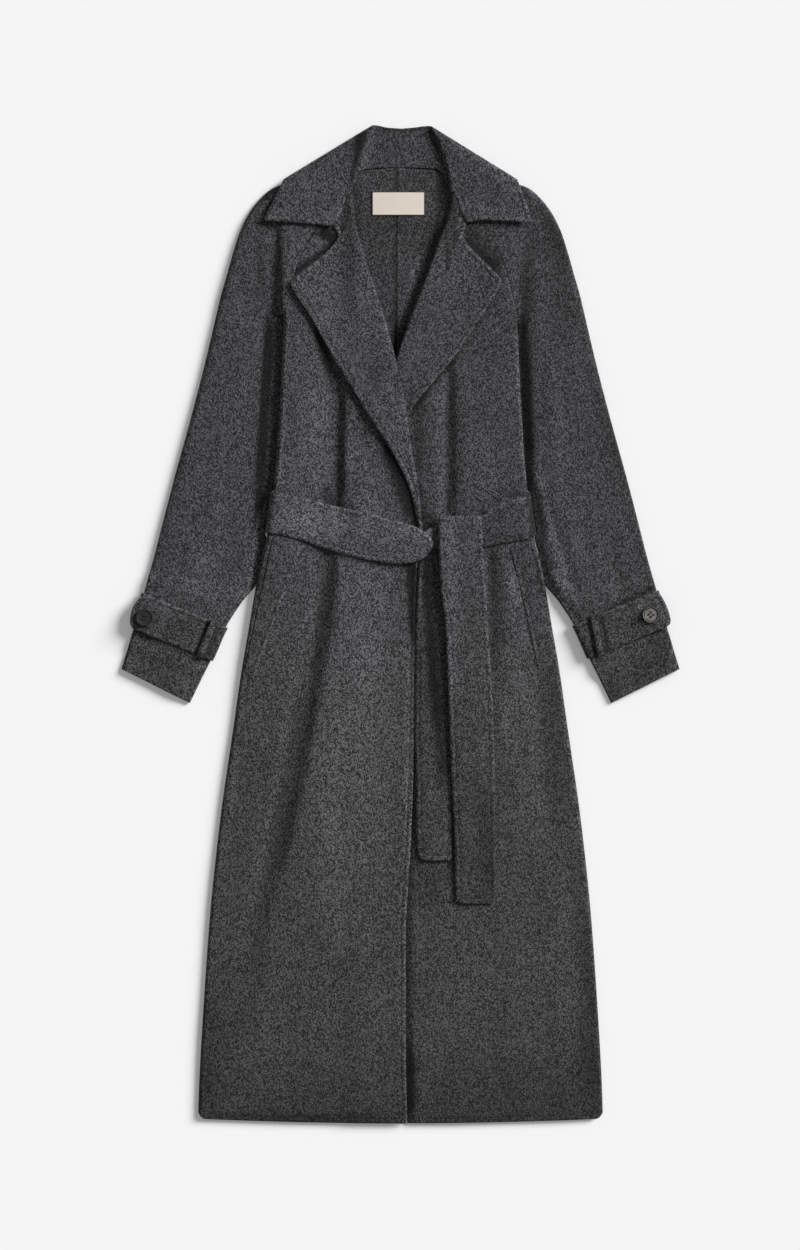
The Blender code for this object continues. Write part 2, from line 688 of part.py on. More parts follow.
def sleeve_tuck(y):
    """How far the sleeve's inner edge reaches in under the body's edge."""
    low, high = BELT_ZONE
    belt = ramp(y, low - BELT_ZONE_FADE, low) * ramp(y, high + BELT_ZONE_FADE, high)
    underarm = ramp(y, *UNDERARM_ZONE)
    beside_belt = -BELT_BULGE - BELT_CLOTH / 2 - SLEEVE_CLEARANCE
    return mix(mix(SLEEVE_TUCK, beside_belt, belt), -SLEEVE_CLEARANCE, underarm)


def sleeve_frame(side, row):
    """The sleeve's outer and inner points at a row, and its point on the back seam."""
    outer = Vector((side * along(ARM, "outer_x", row), along(ARM, "outer_y", row)))
    inner = Vector((side * along(ARM, "inner_x", row), along(ARM, "inner_y", row)))
    if row > UNDERARM_ROW:
        return outer, inner, back_seam(side, [row])[0]
    tucked = half_width(inner.y) - sleeve_tuck(inner.y)
    inner.x = side * mix(abs(inner.x), tucked, ramp(inner.y, *TUCK_ZONE))
    return outer, inner, inner.copy()


def strap_cover(row):
    """Share of the sleeve's lift where the cuff strap passes under it."""
    return ramp(abs(row - STRAP_ROW), STRAP_COVER, STRAP_COVER - STRAP_COVER_FADE)


def sleeve_row(side, row):
    """One ring of a sleeve: along the lower layer, round the outer fold and back on the upper one."""
    outer, inner, under = sleeve_frame(side, row)
    open_row = row >= UNDERARM_ROW
    cover = strap_cover(row)
    floor = FLOOR_LEVEL + STRAP_LIFT * cover
    upper = SLEEVE_UPPER + STRAP_UPPER_LIFT * cover + SHOULDER_RISE * ramp(row, *SHOULDER_ROWS)
    seam_level = mix(floor + SLEEVE_FOLD, SLEEVE_UPPER, ramp(row, *UNDERARM_RISE_ROWS))
    low_end = back_level(under.x, under.y) if open_row else seam_level - SLEEVE_FOLD
    high_end = front_level(side, inner.x, inner.y) if open_row else seam_level + SLEEVE_FOLD
    low_width = (outer - under).length
    width = (outer - inner).length
    bend = min(SLEEVE_OUTER_ROUND, BEND_SHARE * width)
    fold = min(SLEEVE_FOLD, FOLD_SHARE * width)
    ground = floor_level(outer.x, outer.y) if row > COLLAR_OVER_ROW else floor
    outer_level = mix(ground, upper, OUTER_FOLD_SHARE)
    points = []

    def lower(inward):
        at = under.lerp(outer, inward / low_width)
        resting = floor_level(at.x, at.y) if row > COLLAR_OVER_ROW else floor
        level = mix(low_end, resting, ramp(inward, fold, fold + LOWER_BLEND))
        held = mix(outer_level, level, dome((low_width - inward) / bend))
        points.append(Vector((at.x, at.y, held)))

    def higher(inward):
        at = inner.lerp(outer, inward / width)
        folded = upper + fold_height(ARM_FOLDS, abs(at.x), at.y)
        level = mix(high_end, folded, ramp(inward, fold, fold + UPPER_BLEND))
        held = mix(outer_level, level, dome((width - inward) / bend))
        points.append(Vector((at.x, at.y, held)))

    if open_row:
        lower(0.0)
    else:
        points.append(Vector((under.x, under.y, seam_level)))
    for f in SLEEVE_LOWER_COLUMNS:
        lower(mix(fold, low_width - bend, f))
    for f in SLEEVE_BEND_COLUMNS:
        lower(low_width - bend * f)
    points.append(Vector((outer.x, outer.y, outer_level)))
    for f in reversed(SLEEVE_BEND_COLUMNS):
        higher(width - bend * f)
    for f in SLEEVE_UPPER_COLUMNS:
        higher(mix(fold, width - bend, f))
    if open_row:
        higher(0.0)
    else:
        points.append(Vector((inner.x, inner.y, seam_level)))
    return points


def sleeve_rows(side):
    """Rings of a sleeve up to the underarm, then open rows between the two raglan seams."""
    rows = [sleeve_row(side, row) for row in SLEEVE_ROWS]
    front = front_seam(side, RAGLAN_STEPS)
    open_rows = [step + UNDERARM_ROW - RAGLAN_STEPS[0] for step in RAGLAN_STEPS]
    back = back_seam(side, open_rows)
    for k, row in enumerate(open_rows):
        if k == 0:
            continue
        points = sleeve_row(side, row)
        points[0].x, points[0].y = seam_shift(back, k, -side * SEAM / 2)
        points[-1].x, points[-1].y = seam_shift(front, k, -side * SEAM / 2)
        rows.append(points)
    return rows


def collar_end(side, f, start):
    """The collar's front end: straight down the gorge, then out to the tip."""
    name = "left" if side < 0 else "right"
    corner = COLLAR_END[0]
    gorge = Vector((getattr(corner, name + "_x"), getattr(corner, name + "_y")))
    if f <= corner.along:
        return start.lerp(gorge, f / corner.along)
    return Vector((between(COLLAR_END, "along", name + "_x", f), between(COLLAR_END, "along", name + "_y", f)))


def collar_row(side, step):
    """Points of the collar across one row: up the stand, over the roll and out to the edge."""
    value = CollarRow(*[along(COLLARS[side], name, step) for name in CollarRow._fields])
    neck = Vector((value.neck_x, value.neck_y))
    roll = Vector((value.roll_x, value.roll_y))
    edge = Vector((value.edge_x, value.edge_y))
    radius = max(abs(value.low - value.high) / 2, COLLAR_ROLL_MIN)
    stand_way = (roll - neck).normalized()
    fall_way = (roll - edge).normalized()
    stand_way = stand_way.lerp(fall_way, ramp(step, *STAND_END_STEPS)).normalized()
    stand_top = roll - stand_way * radius
    fall_top = roll - fall_way * radius
    if (stand_top - neck).dot(stand_way) < STAND_MIN:
        neck = stand_top - stand_way * STAND_MIN
    points = []
    for f in STAND_COLUMNS:
        at = neck.lerp(stand_top, f)
        points.append(Vector((at.x, at.y, mix(value.neck_z, value.low, f))))
    start = Vector((stand_top.x, stand_top.y, value.low))
    stop = Vector((fall_top.x, fall_top.y, value.high))
    pull = 4 / 3 * radius
    pull_start = start + stand_way.to_3d() * pull
    pull_stop = stop + fall_way.to_3d() * pull
    for k in range(ROLL_STEPS + 1):
        t = k / ROLL_STEPS
        points.append(start * (1 - t) ** 3 + pull_start * 3 * t * (1 - t) ** 2
                      + pull_stop * 3 * t * t * (1 - t) + stop * t ** 3)
    straight = ramp(step, *FALL_END_STEPS)
    for f in FALL_COLUMNS:
        at = collar_end(side, f, fall_top).lerp(fall_top.lerp(edge, f), straight)
        points.append(Vector((at.x, at.y, mix(value.high, value.edge_z, f))))
    return points


def collar_rows():
    """Rows of the collar from its left front end round the neck to its right one."""
    left = [collar_row(-1, step) for step in reversed(COLLAR_STEPS)]
    right = [collar_row(1, step) for step in COLLAR_STEPS[1:]]
    return left + right


def belt_base(level, x, y):
    """Middle of the belt's cloth where it lies on a level."""
    return level(x, y) + CLOTH / 2 + LAYER_GAP + BELT_CLOTH / 2


def belt_across(row, level):
    """Points across the belt at one row of a stretch, on what it crosses."""
    top, low = Vector((row.top_x, row.top_y)), Vector((row.low_x, row.low_y))
    points = []
    for k in range(BELT_COLUMNS + 1):
        at = top.lerp(low, k / BELT_COLUMNS)
        soft = BELT_SOFTNESS * sin(pi * k / BELT_COLUMNS)
        points.append(Vector((at.x, at.y, belt_base(level, at.x, at.y) + row.rise + soft)))
    return points


def belt_wrap(side, level):
    """Rows of the belt where it bends round the body's side, from underneath to the front."""
    low_y, high_y = BELT_AT_BEND[side]
    rows = []
    for k in range(BELT_WRAP_STEPS, -1, -1):
        share = k / BELT_WRAP_STEPS
        angle = pi / 2 - pi * share
        top_y = mix(high_y, BACK_STRETCH[1], ease(share * 2))
        bottom_y = mix(low_y, BACK_STRETCH[0], ease(share * 2))
        points = []
        for j in range(BELT_COLUMNS + 1):
            y = mix(top_y, bottom_y, j / BELT_COLUMNS)
            centre = half_width(y) - BELT_WRAP_DEPTH
            high = belt_base(level, side * centre, y)
            low = BELT_CLOTH / 2
            out = (BELT_WRAP_DEPTH + BELT_BULGE) * max(cos(angle), 0.0) ** BELT_WRAP_SQUARE
            rise = abs(sin(angle)) ** BELT_WRAP_SQUARE * (1 if angle >= 0 else -1)
            points.append(Vector((side * (centre + out), y, mix(low, high, (1 + rise) / 2))))
        rows.append(points)
    return rows


def belt_waist_rows(side):
    """Rows of a waist stretch, from the back round the side and across the front."""
    level = over_level if side < 0 else under_level
    table = LEFT_STRETCH if side < 0 else RIGHT_STRETCH[::-1]
    return belt_wrap(side, level) + [belt_across(row, level) for row in table]


def belt_back_rows():
    """Rows of the stretch that lies flat under the back."""
    low, high = BACK_STRETCH
    rows = []
    for k in range(BACK_STRETCH_STEPS + 1):
        points = []
        for y in (low, (low + high) / 2, high):
            end = half_width(y) - BELT_WRAP_DEPTH - SEAM
            points.append(Vector((mix(-end, end, k / BACK_STRETCH_STEPS), y, BELT_CLOTH / 2)))
        rows.append(points)
    return rows


def step_level(x, y):
    """What the belt's ends lie on: the upper front, or past its edge the lower one."""
    edge = between(FRONT_EDGE, "y", "left", y)
    lower = under_level(x, y)
    return mix(lower, max(over_level(x, y), lower + OVERLAP_RISE), ramp(x - edge, *STEP_BAND))


def hang_rows(table):
    """Rows of a hanging end, from the waist down."""
    rows = []
    for row in table:
        points = []
        for k in range(BELT_COLUMNS + 1):
            x = mix(row.left, row.right, k / BELT_COLUMNS)
            points.append(Vector((x, row.y, belt_base(step_level, x, row.y) + row.rise)))
        rows.append(points)
    return rows


def long_end_rows():
    """The long end, whose first rows turn over the top of the waist stretch."""
    rows = hang_rows(LONG_END)
    loop = []
    for angle in END_LOOP_ANGLES:
        turned = []
        for point in rows[0]:
            y = point.y + END_LOOP_FLAT * sin(angle)
            turned.append(Vector((point.x, y, point.z - END_LOOP * (1 - cos(angle)))))
        loop.append(turned)
    return loop + rows[1:]


def welt_rows(side):
    """Rows of a pocket welt, from its top down, on the front's own level."""
    table = LEFT_WELT if side < 0 else RIGHT_WELT
    lift = CLOTH / 2 + WELT_GAP + WELT_CLOTH / 2
    rows = []
    for step in range(WELT_STEPS + 1):
        at = step * (len(table) - 1) / WELT_STEPS
        outer = Vector((along(table, "outer_x", at), along(table, "outer_y", at)))
        inner = Vector((along(table, "inner_x", at), along(table, "inner_y", at)))
        points = []
        for k in range(WELT_COLUMNS + 1):
            p = outer.lerp(inner, k / WELT_COLUMNS)
            points.append(Vector((p.x, p.y, front_level(side, p.x, p.y) + lift)))
        rows.append(points)
    return rows


def label_rows():
    """Rows of the bare label on the inside of the back."""
    lift = CLOTH / 2 + SEAM + LABEL_CLOTH / 2
    rows = []
    for k in range(LABEL_ROWS + 1):
        y = mix(LABEL.low, LABEL.high, k / LABEL_ROWS)
        points = []
        for j in range(LABEL_COLUMNS + 1):
            x = mix(LABEL.left, LABEL.right, j / LABEL_COLUMNS)
            points.append(Vector((x, y, back_level(x, y) + lift)))
        rows.append(points)
    return rows


def strap_frame(side):
    """The cuff strap's middle line from the sleeve's inner edge, and its two directions."""
    outer, inner, under = sleeve_frame(side, STRAP_ROW)
    way = (outer - inner).normalized()
    return inner, way, Vector((-way.y, way.x)) * side


def sleeve_edge(side, aside, which):
    """How far along the strap the sleeve's edge lies, for a line beside the strap's middle."""
    start, way, cross = strap_frame(side)
    low, high = 0.0, 2 * STRAP_ROW
    for trial in range(EDGE_TRIALS):
        row = (low + high) / 2
        at = sleeve_frame(side, row)[which] - start
        if at.dot(cross) < aside:
            low = row
        else:
            high = row
    return at.dot(way)


def strap_line(side, aside):
    """The line that the strap follows round the cuff, beside its middle by some distance."""
    start, way, cross = strap_frame(side)
    first = sleeve_edge(side, aside, INNER)
    last = sleeve_edge(side, aside, OUTER)
    reach = STRAP_BEND + BELT_CLOTH / 2 + LAYER_GAP + CLOTH / 2
    floor = BELT_CLOTH / 2
    top = STRAP_TOP - BELT_CLOTH / 2
    tab = top + BELT_CLOTH + LAYER_GAP
    points = []

    def put(distance, z):
        at = start + cross * aside + way * distance
        points.append(Vector((at.x, at.y, z)))

    def turn(edge, outward, start_z, stop_z):
        for k in range(STRAP_TURN_STEPS + 1):
            angle = pi * k / STRAP_TURN_STEPS
            square = max(sin(angle), 0.0) ** STRAP_SQUARE if 0 < k < STRAP_TURN_STEPS else 0.0
            fall = abs(cos(angle)) ** STRAP_SQUARE * (1 if cos(angle) > 0 else -1)
            put(edge + outward * (reach * square - STRAP_BEND), mix(stop_z, start_z, (1 + fall) / 2))

    for f in STRAP_UNDER_TAB:
        put(mix(first, last, f), top)
    turn(last, 1, top, floor)
    for f in STRAP_BELOW:
        put(mix(first, last, f), floor)
    turn(first, -1, floor, top)
    for f in STRAP_ABOVE:
        put(mix(first, last, f), top)
    put(mix(first, last, STRAP_STEP_AT), (top + tab) / 2)
    for f in STRAP_TAB:
        put(mix(first, last, f), tab)
    point = STRAP_TAB_POINT * (1 - abs(aside) / (STRAP_WIDTH / 2))
    put(last + STRAP_TAB_REACH + point, tab - STRAP_TAB_DROP)
    return points


def strap_rows(side):
    return [strap_line(side, STRAP_WIDTH * k / 2) for k in (-1, 0, 1)]


def loop_rows(side):
    """The strap loop: a short strip over the strap, down to the sleeve at both ends."""
    start, way, cross = strap_frame(side)
    at = start + way * LOOP_INSET
    high = STRAP_TOP + LAYER_GAP + CLOTH / 2
    low = SLEEVE_UPPER + STRAP_UPPER_LIFT + CLOTH + LOOP_END_GAP
    rows = []
    for share in LOOP_COLUMNS:
        z = low if abs(share) == LOOP_COLUMNS[-1] else high
        row = []
        for k in (-0.5, 0.5):
            p = at + cross * LOOP_LENGTH * share + way * LOOP_WIDTH * k * side
            row.append(Vector((p.x, p.y, z)))
        rows.append(row)
    return rows


def make_material(name, colour, roughness):
    material = bpy.data.materials.new(name)
    material.use_nodes = True
    shader = material.node_tree.nodes["Principled BSDF"]
    shader.inputs["Base Color"].default_value = (*colour, 1.0)
    shader.inputs["Roughness"].default_value = roughness
    shader.inputs["Metallic"].default_value = 0.0
    return material


def add_object(name, mesh, collection, material):
    obj = bpy.data.objects.new(name, mesh)
    obj.data.materials.append(material)
    collection.objects.link(obj)
    return obj


def add_sheet(name, rows, wall, collection, material):
    """A wall of cloth: a grid shaped by rows of points, then thickened.

    Rows may have unlike numbers of points: the shorter ones leave the grid's far columns out.
    """
    columns = max(len(row) for row in rows)
    bm = bmesh.new()
    bmesh.ops.create_grid(bm, x_segments=columns - 1, y_segments=len(rows) - 1, size=0.5)
    unused = []
    for vert in bm.verts:
        i = round((vert.co.y + 0.5) * (len(rows) - 1))
        j = round((vert.co.x + 0.5) * (columns - 1))
        if j < len(rows[i]):
            vert.co = rows[i][j] * MM
        else:
            unused.append(vert)
    bmesh.ops.delete(bm, geom=unused, context="VERTS")
    bmesh.ops.remove_doubles(bm, verts=bm.verts, dist=WELD * MM)
    mesh = bpy.data.meshes.new(name)
    bm.to_mesh(mesh)
    bm.free()
    obj = add_object(name, mesh, collection, material)
    shell = obj.modifiers.new("wall", "SOLIDIFY")
    shell.thickness = wall * MM
    shell.offset = 0.0
    shell.use_quality_normals = True
    return obj


def add_button(side, name, collection, cutters, material):
    """A turned button with a rim and a dished middle, and four holes through it."""
    start, way, cross = strap_frame(side)
    outer, inner, under = sleeve_frame(side, STRAP_ROW)
    at = inner.lerp(outer, BUTTON_AT)
    bm = bmesh.new()
    verts = [bm.verts.new((point.radius * MM, 0, point.height * MM)) for point in BUTTON_PROFILE]
    edges = [bm.edges.new(pair) for pair in zip(verts, verts[1:])]
    bmesh.ops.spin(bm, geom=verts + edges, cent=(0, 0, 0), axis=(0, 0, 1), angle=2 * pi,
                   steps=BUTTON_STEPS, use_merge=True)
    bmesh.ops.remove_doubles(bm, verts=bm.verts, dist=WELD * MM)
    bmesh.ops.recalc_face_normals(bm, faces=bm.faces)
    mesh = bpy.data.meshes.new(name)
    bm.to_mesh(mesh)
    bm.free()
    obj = add_object(name, mesh, collection, material)
    obj.location = Vector((at.x, at.y, STRAP_TOP + BELT_CLOTH + LAYER_GAP + BUTTON_GAP)) * MM
    obj.rotation_euler.z = way.angle(Vector((1, 0)))

    holes = bmesh.new()
    for x in (-BUTTON_HOLE_SPREAD, BUTTON_HOLE_SPREAD):
        for y in (-BUTTON_HOLE_SPREAD, BUTTON_HOLE_SPREAD):
            made = bmesh.ops.create_cone(holes, cap_ends=True, segments=BUTTON_HOLE_SIDES,
                                         radius1=BUTTON_HOLE_RADIUS * MM,
                                         radius2=BUTTON_HOLE_RADIUS * MM, depth=4 * BUTTON_THICK * MM)
            bmesh.ops.translate(holes, verts=made["verts"], vec=Vector((x, y, 0)) * MM)
    cutter_mesh = bpy.data.meshes.new(name + "_holes")
    holes.to_mesh(cutter_mesh)
    holes.free()
    cutter = add_object(name + "_holes", cutter_mesh, cutters, material)
    cutter.location = obj.location
    cutter.rotation_euler = obj.rotation_euler
    cutter.hide_render = True
    cutter.display_type = "WIRE"
    cut = obj.modifiers.new("holes", "BOOLEAN")
    cut.operation = "DIFFERENCE"
    cut.object = cutter
    return obj


def build():
    for obj in list(bpy.data.objects):
        bpy.data.objects.remove(obj, do_unlink=True)
    coat = bpy.data.collections.new("wrap_coat")
    cutters = bpy.data.collections.new("cutters")
    for collection in (coat, cutters):
        bpy.context.scene.collection.children.link(collection)

    wool = make_material("charcoal_wool", (0.055, 0.055, 0.058), 0.95)
    horn = make_material("dark_horn", (0.012, 0.011, 0.011), 0.4)
    satin = make_material("cream_satin", (0.66, 0.6, 0.51), 0.6)

    for side, name in ((-1, "left"), (1, "right")):
        add_sheet(f"back_{name}", back_rows(side), CLOTH, coat, wool)
        add_sheet(f"front_{name}", front_rows(side), CLOTH, coat, wool)
        add_sheet(f"sleeve_{name}", sleeve_rows(side), CLOTH, coat, wool)
        add_sheet(f"belt_waist_{name}", belt_waist_rows(side), BELT_CLOTH, coat, wool)
        add_sheet(f"welt_{name}", welt_rows(side), WELT_CLOTH, coat, wool)
        add_sheet(f"strap_{name}", strap_rows(side), BELT_CLOTH, coat, wool)
        add_sheet(f"strap_loop_{name}", loop_rows(side), CLOTH, coat, wool)
        add_button(side, f"button_{name}", coat, cutters, horn)
    add_sheet("collar", collar_rows(), COLLAR_CLOTH, coat, wool)
    add_sheet("belt_back", belt_back_rows(), BELT_CLOTH, coat, wool)
    add_sheet("belt_knot", [belt_across(row, step_level) for row in KNOT], BELT_CLOTH, coat, wool)
    add_sheet("belt_end_long", long_end_rows(), BELT_CLOTH, coat, wool)
    add_sheet("belt_end_short", hang_rows(SHORT_END), BELT_CLOTH, coat, wool)
    add_sheet("neck_label", label_rows(), LABEL_CLOTH, coat, satin)


build()
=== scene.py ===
"""Long belted wrap coat of charcoal wool twill, lying flat on its back with its front up.

X runs across the coat, +Y towards the collar and +Z up, with the floor at zero.
Every size is in millimetres until a piece's mesh is made, apart from those marked as metres.
Left means -X.
"""

from bisect import bisect_right
from collections import namedtuple
from math import ceil, cos, exp, hypot, pi, radians, sin, sqrt

import bmesh
import bpy
from bpy.props import FloatProperty, FloatVectorProperty, PointerProperty
from mathutils import Matrix, Vector, kdtree, noise


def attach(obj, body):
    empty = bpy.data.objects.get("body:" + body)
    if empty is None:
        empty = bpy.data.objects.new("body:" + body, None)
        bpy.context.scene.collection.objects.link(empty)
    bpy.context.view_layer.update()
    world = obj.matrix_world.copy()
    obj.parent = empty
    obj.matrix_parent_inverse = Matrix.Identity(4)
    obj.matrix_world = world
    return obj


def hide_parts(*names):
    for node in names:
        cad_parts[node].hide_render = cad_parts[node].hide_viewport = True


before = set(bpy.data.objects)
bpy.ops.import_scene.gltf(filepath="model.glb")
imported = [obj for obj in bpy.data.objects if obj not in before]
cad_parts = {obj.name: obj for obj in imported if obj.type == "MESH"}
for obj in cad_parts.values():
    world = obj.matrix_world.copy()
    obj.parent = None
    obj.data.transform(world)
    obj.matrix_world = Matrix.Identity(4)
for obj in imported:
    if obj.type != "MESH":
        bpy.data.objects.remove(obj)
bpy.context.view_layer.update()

bl_info = {
    "name": "Wrap Coat",
    "version": (1, 0, 0),
    "blender": (4, 5, 0),
    "location": "View3D > Sidebar > Wrap Coat",
    "description": "Makes a long belted wrap coat of charcoal wool, laid flat",
    "category": "Add Mesh",
}

MM = 0.001
WELD = 0.01

# Walls of cloth in the solids, from which the layers' levels are worked out
CLOTH = 1.8
BELT_CLOTH = 2.4
SEAM = 0.4
LAYER_GAP = 0.7

# Walls of cloth as shown
BODY_WALL = 2.2
UNDER_WALL = 2.0
COLLAR_WALL = 2.6
BELT_WALL = 2.8
WELT_WALL = 0.9
WELT_GAP = 0.15
LOOP_WALL = 2.0
LABEL_WALL = 0.6

# Levels of the middle of the cloth above the floor, and what lifts it
FLOOR_LEVEL = CLOTH / 2 + 0.2
FRONT_LEVEL = 6.6
HEM_SETTLING = 0.4
HEM_SETTLING_ZONE = (-300.0, -600.0)
BELT_LIFT = 2.9
BELT_MARGIN = (6.0, 32.0)
COLLAR_LIFT = 2.7
COLLAR_MARGIN = (10.0, 34.0)

# Where the upper front lies over the lower one, and over its lapel
OVERLAP_RISE = 1.6
OVERLAP_BAND = (-82.0, -52.0)
CROSSING_RISE = 4.9
CROSSING_BAND = (-34.0, -6.0)
CROSSING_FOOT = (88.0, 118.0)
CROSSING_HEAD = (408.0, 346.0)
SINK = 4.6
SINK_BAND = (11.0, -8.0)
SINK_TOP = (250.0, 130.0)

# How the cloth beside the sleeves puffs up, and the armhole's seam sits low
SIDE_PUFF = {-1: 5.4, 1: 1.6}
PUFF_ZONE = (30.0, 100.0, 545.0, 430.0)
LOFT = 2.8
LOFT_ZONE = (-640.0, -540.0, 505.0, 420.0)
LOFT_BAND = (0.0, 90.0)
ARMHOLE_DROP = {-1: 0.0, 1: 0.8}
ARMHOLE_ROWS = (11.0, 11.5, 15.2, 13.2)
ARMHOLE_ROUND = 4.0
LEDGE_X = 150.0
LEDGE_WIDTH = {-1: 9.0, 1: 11.0}
LEDGE_DIP = {-1: 2.6, 1: 2.2}
LEDGE_DIP_BAND = {-1: (13.0, 20.0), 1: (8.0, 18.0)}
LEDGE_FADE = (560.0, 500.0)
SEAM_DIP = 0.7
SEAM_DIP_WIDTH = 1.7
# Width of the painted shade and highlight beside the centre back seam
SEAM_SHADE_WIDTH = 4.0

# Slow unevenness of cloth that has been laid down by hand
DRIFT = 0.9
DRIFT_ACROSS = 52.0
DRIFT_ALONG = 85.0

# The body: its hem, underarm, neck and rounded sides
HEM_Y = -639.2
HEM_HALF_WIDTH = 259.5
HEM_SIDE_LIFT = 6.0
HEM_CORNER = 9.0
HEM_REACH = 90.0
UNDERARM_Y = 390.0
UNDERARM_FADE = 0.35
BREAK_Y = 118.0
# Where the plain rows of the fronts and of the backs end, a little below the break and the underarm
FRONT_TOP_Y = BREAK_Y - 2
BACK_TOP_Y = UNDERARM_Y - 6
NECK_SEAM_Y = 585.0
CENTRE_BACK_X = -3.8
BACK_SEAM_GAP = 0.02
# Painted shade along the left back's edge at the centre seam, and a painted highlight along the right back's,
# standing in for the shaded and lit walls of the seam's groove
BACK_SEAM_SHADE = {-1: 0.75, 1: -0.35}
CROWN_BAND = (10.0, 70.0)
SIDE_ROUND = 3.6
BACK_CURL = 45.0
BACK_CURL_POWER = 1.25
BACK_END = 2.5
BACK_UNDER_RIM = 1.1


def ease(t):
    """Soft step from 0 to 1."""
    t = min(max(t, 0.0), 1.0)
    return t * t * (3 - 2 * t)


def ramp(value, start, stop):
    """Soft step from 0 at one value to 1 at another."""
    return ease((value - start) / (stop - start))


def dome(t):
    """Quarter circle from 0 to 1."""
    t = min(max(t, 0.0), 1.0)
    return sqrt(1 - (1 - t) ** 2)


def mix(a, b, t):
    return a + (b - a) * t


class Track:
    """A smooth line through values at rising keys, whose slopes never overshoot; corners stay sharp."""

    def __init__(self, keys, values, corners=()):
        self.keys, self.values = list(keys), list(values)
        rises = [(b - a) / (q - p) for a, b, p, q in
                 zip(self.values, self.values[1:], self.keys, self.keys[1:])]

        def slope(k, own):
            if k in (0, len(rises)) or k in corners:
                return own
            before, after = rises[k - 1], rises[k]
            return 0.0 if before * after <= 0 else 2 * before * after / (before + after)

        self.slopes = [(slope(i, rise), slope(i + 1, rise)) for i, rise in enumerate(rises)]

    def __call__(self, at):
        keys, values = self.keys, self.values
        if at <= keys[0]:
            return values[0]
        if at >= keys[-1]:
            return values[-1]
        i = bisect_right(keys, at) - 1
        step = keys[i + 1] - keys[i]
        t = (at - keys[i]) / step
        start, stop = self.slopes[i]
        return (values[i] * (1 + 2 * t) * (1 - t) ** 2 + start * step * t * (1 - t) ** 2
                + values[i + 1] * t * t * (3 - 2 * t) + stop * step * t * t * (t - 1))


class Table:
    """Columns of sizes, each read smoothly by row number, or by the first column where keyed."""

    def __init__(self, names, rows, keyed=False, corners=()):
        self.last = len(rows) - 1
        self.rows = rows
        keys = [row[0] for row in rows] if keyed else range(len(rows))
        for k, name in enumerate(names.split()):
            setattr(self, name, Track(keys, [row[k] for row in rows], corners))

    def point(self, name, at):
        """A point of the table, whose columns are called name_x and name_y."""
        return Vector((getattr(self, name + "_x")(at), getattr(self, name + "_y")(at)))

    def rounded(self, name, at, corner, reach):
        """A point of the table, with the corner at a row rounded off."""
        if abs(at - corner) >= reach:
            return self.point(name, at)
        t = (at - corner + reach) / (2 * reach)
        before, after = self.point(name, corner - reach), self.point(name, corner + reach)
        return before * (1 - t) ** 2 + self.point(name, corner) * 2 * t * (1 - t) + after * t * t


BODY = Table("y half_width rim crown", [
    (-645, 259.5, 2.2, 6.2),
    (-580, 257.5, 2.2, 6.2),
    (-475, 251.5, 2.2, 6.3),
    (-366, 243.5, 2.3, 6.4),
    (-250, 231, 2.4, 6.6),
    (-135, 214.5, 2.8, 6.9),
    (-56, 203, 4.2, 7.7),
    (-4, 194, 5.8, 8.4),
    (41, 186.5, 6.6, 8.8),
    (82, 178.5, 6.6, 8.8),
    (120, 169.5, 6.6, 8.8),
    (172, 162.5, 6.6, 8.8),
    (223, 158, 6.6, 8.8),
    (287, 154, 6.6, 8.8),
    (350, 151, 6.6, 8.8),
    (390, 149.5, 6.6, 8.8),
    (660, 149.5, 6.6, 8.8),
], keyed=True)
FRONT_EDGE = Table("y left right", [
    (-645, 8, -30),
    (-545, 6, -30),
    (-407, 6, -31),
    (-268, 13, -33),
    (-148, 17, -36),
    (-20, 18.6, -39),
    (60, 20, -41),
    (118, 27.5, -43),
], keyed=True)

# Side seam from the break of the lapel to the underarm, and raglan seam on to the neck
SIDE_SEAM = [
    (169.9, 118), (162.5, 172), (158, 223), (154.5, 280), (152, 335), (149.5, 390), (145, 411), (139.5, 434),
    (132.5, 458), (123, 482), (110.5, 505.5), (97, 525), (82, 542), (70, 555),
]

# Rows of the side seam's table at the underarm and at the neck
SEAM_STEP, NECK_STEP = 5, 13


def opening(*rows):
    """The side seam beside the rows of a roll line and of the lapel's outer edge, from break to gorge."""
    return Table("side_x side_y roll_x roll_y edge_x edge_y",
                 [seam + row for seam, row in zip(SIDE_SEAM, rows)], corners=(7, 11, 13))


LEFT_OPENING = opening(
    (27.5, 118, 24, 121), (22.5, 172, 14.5, 167), (13.5, 222, -5.5, 211), (5, 282, -42.3, 270),
    (-8, 342, -86.3, 342), (-24, 400, -114.3, 392), (-35.5, 436, -132, 419), (-43.5, 459, -141.5, 435.5),
    (-51.5, 485, -122, 450.5), (-57, 505, -103, 467), (-59.8, 521, -89, 479), (-61.5, 533, -76.5, 490.5),
    (-62.5, 543, -80.5, 499.5), (-63, 550, -85, 508.5),
)
RIGHT_OPENING = opening(
    (-43, 118, -39.5, 121), (-36.5, 172, -28, 166), (-28.5, 222, -13, 213), (-18, 282, 10, 269),
    (-4.5, 339, 72.7, 348), (13, 391, 99.5, 389), (25.3, 422, 118.5, 418), (34.6, 447, 129.5, 440),
    (43.6, 472, 115.5, 453), (53, 499, 101.5, 467.5), (60.5, 518, 89, 480), (63.5, 531, 77.5, 493),
    (65, 542, 80.5, 503), (65.5, 550, 84.5, 513.5),
)
OPENINGS = {-1: LEFT_OPENING, 1: RIGHT_OPENING}
RIGHT_ROLL = Track([row[3] for row in RIGHT_OPENING.rows], [row[2] for row in RIGHT_OPENING.rows])
LEFT_ROLL = Track([row[3] for row in LEFT_OPENING.rows], [row[2] for row in LEFT_OPENING.rows])

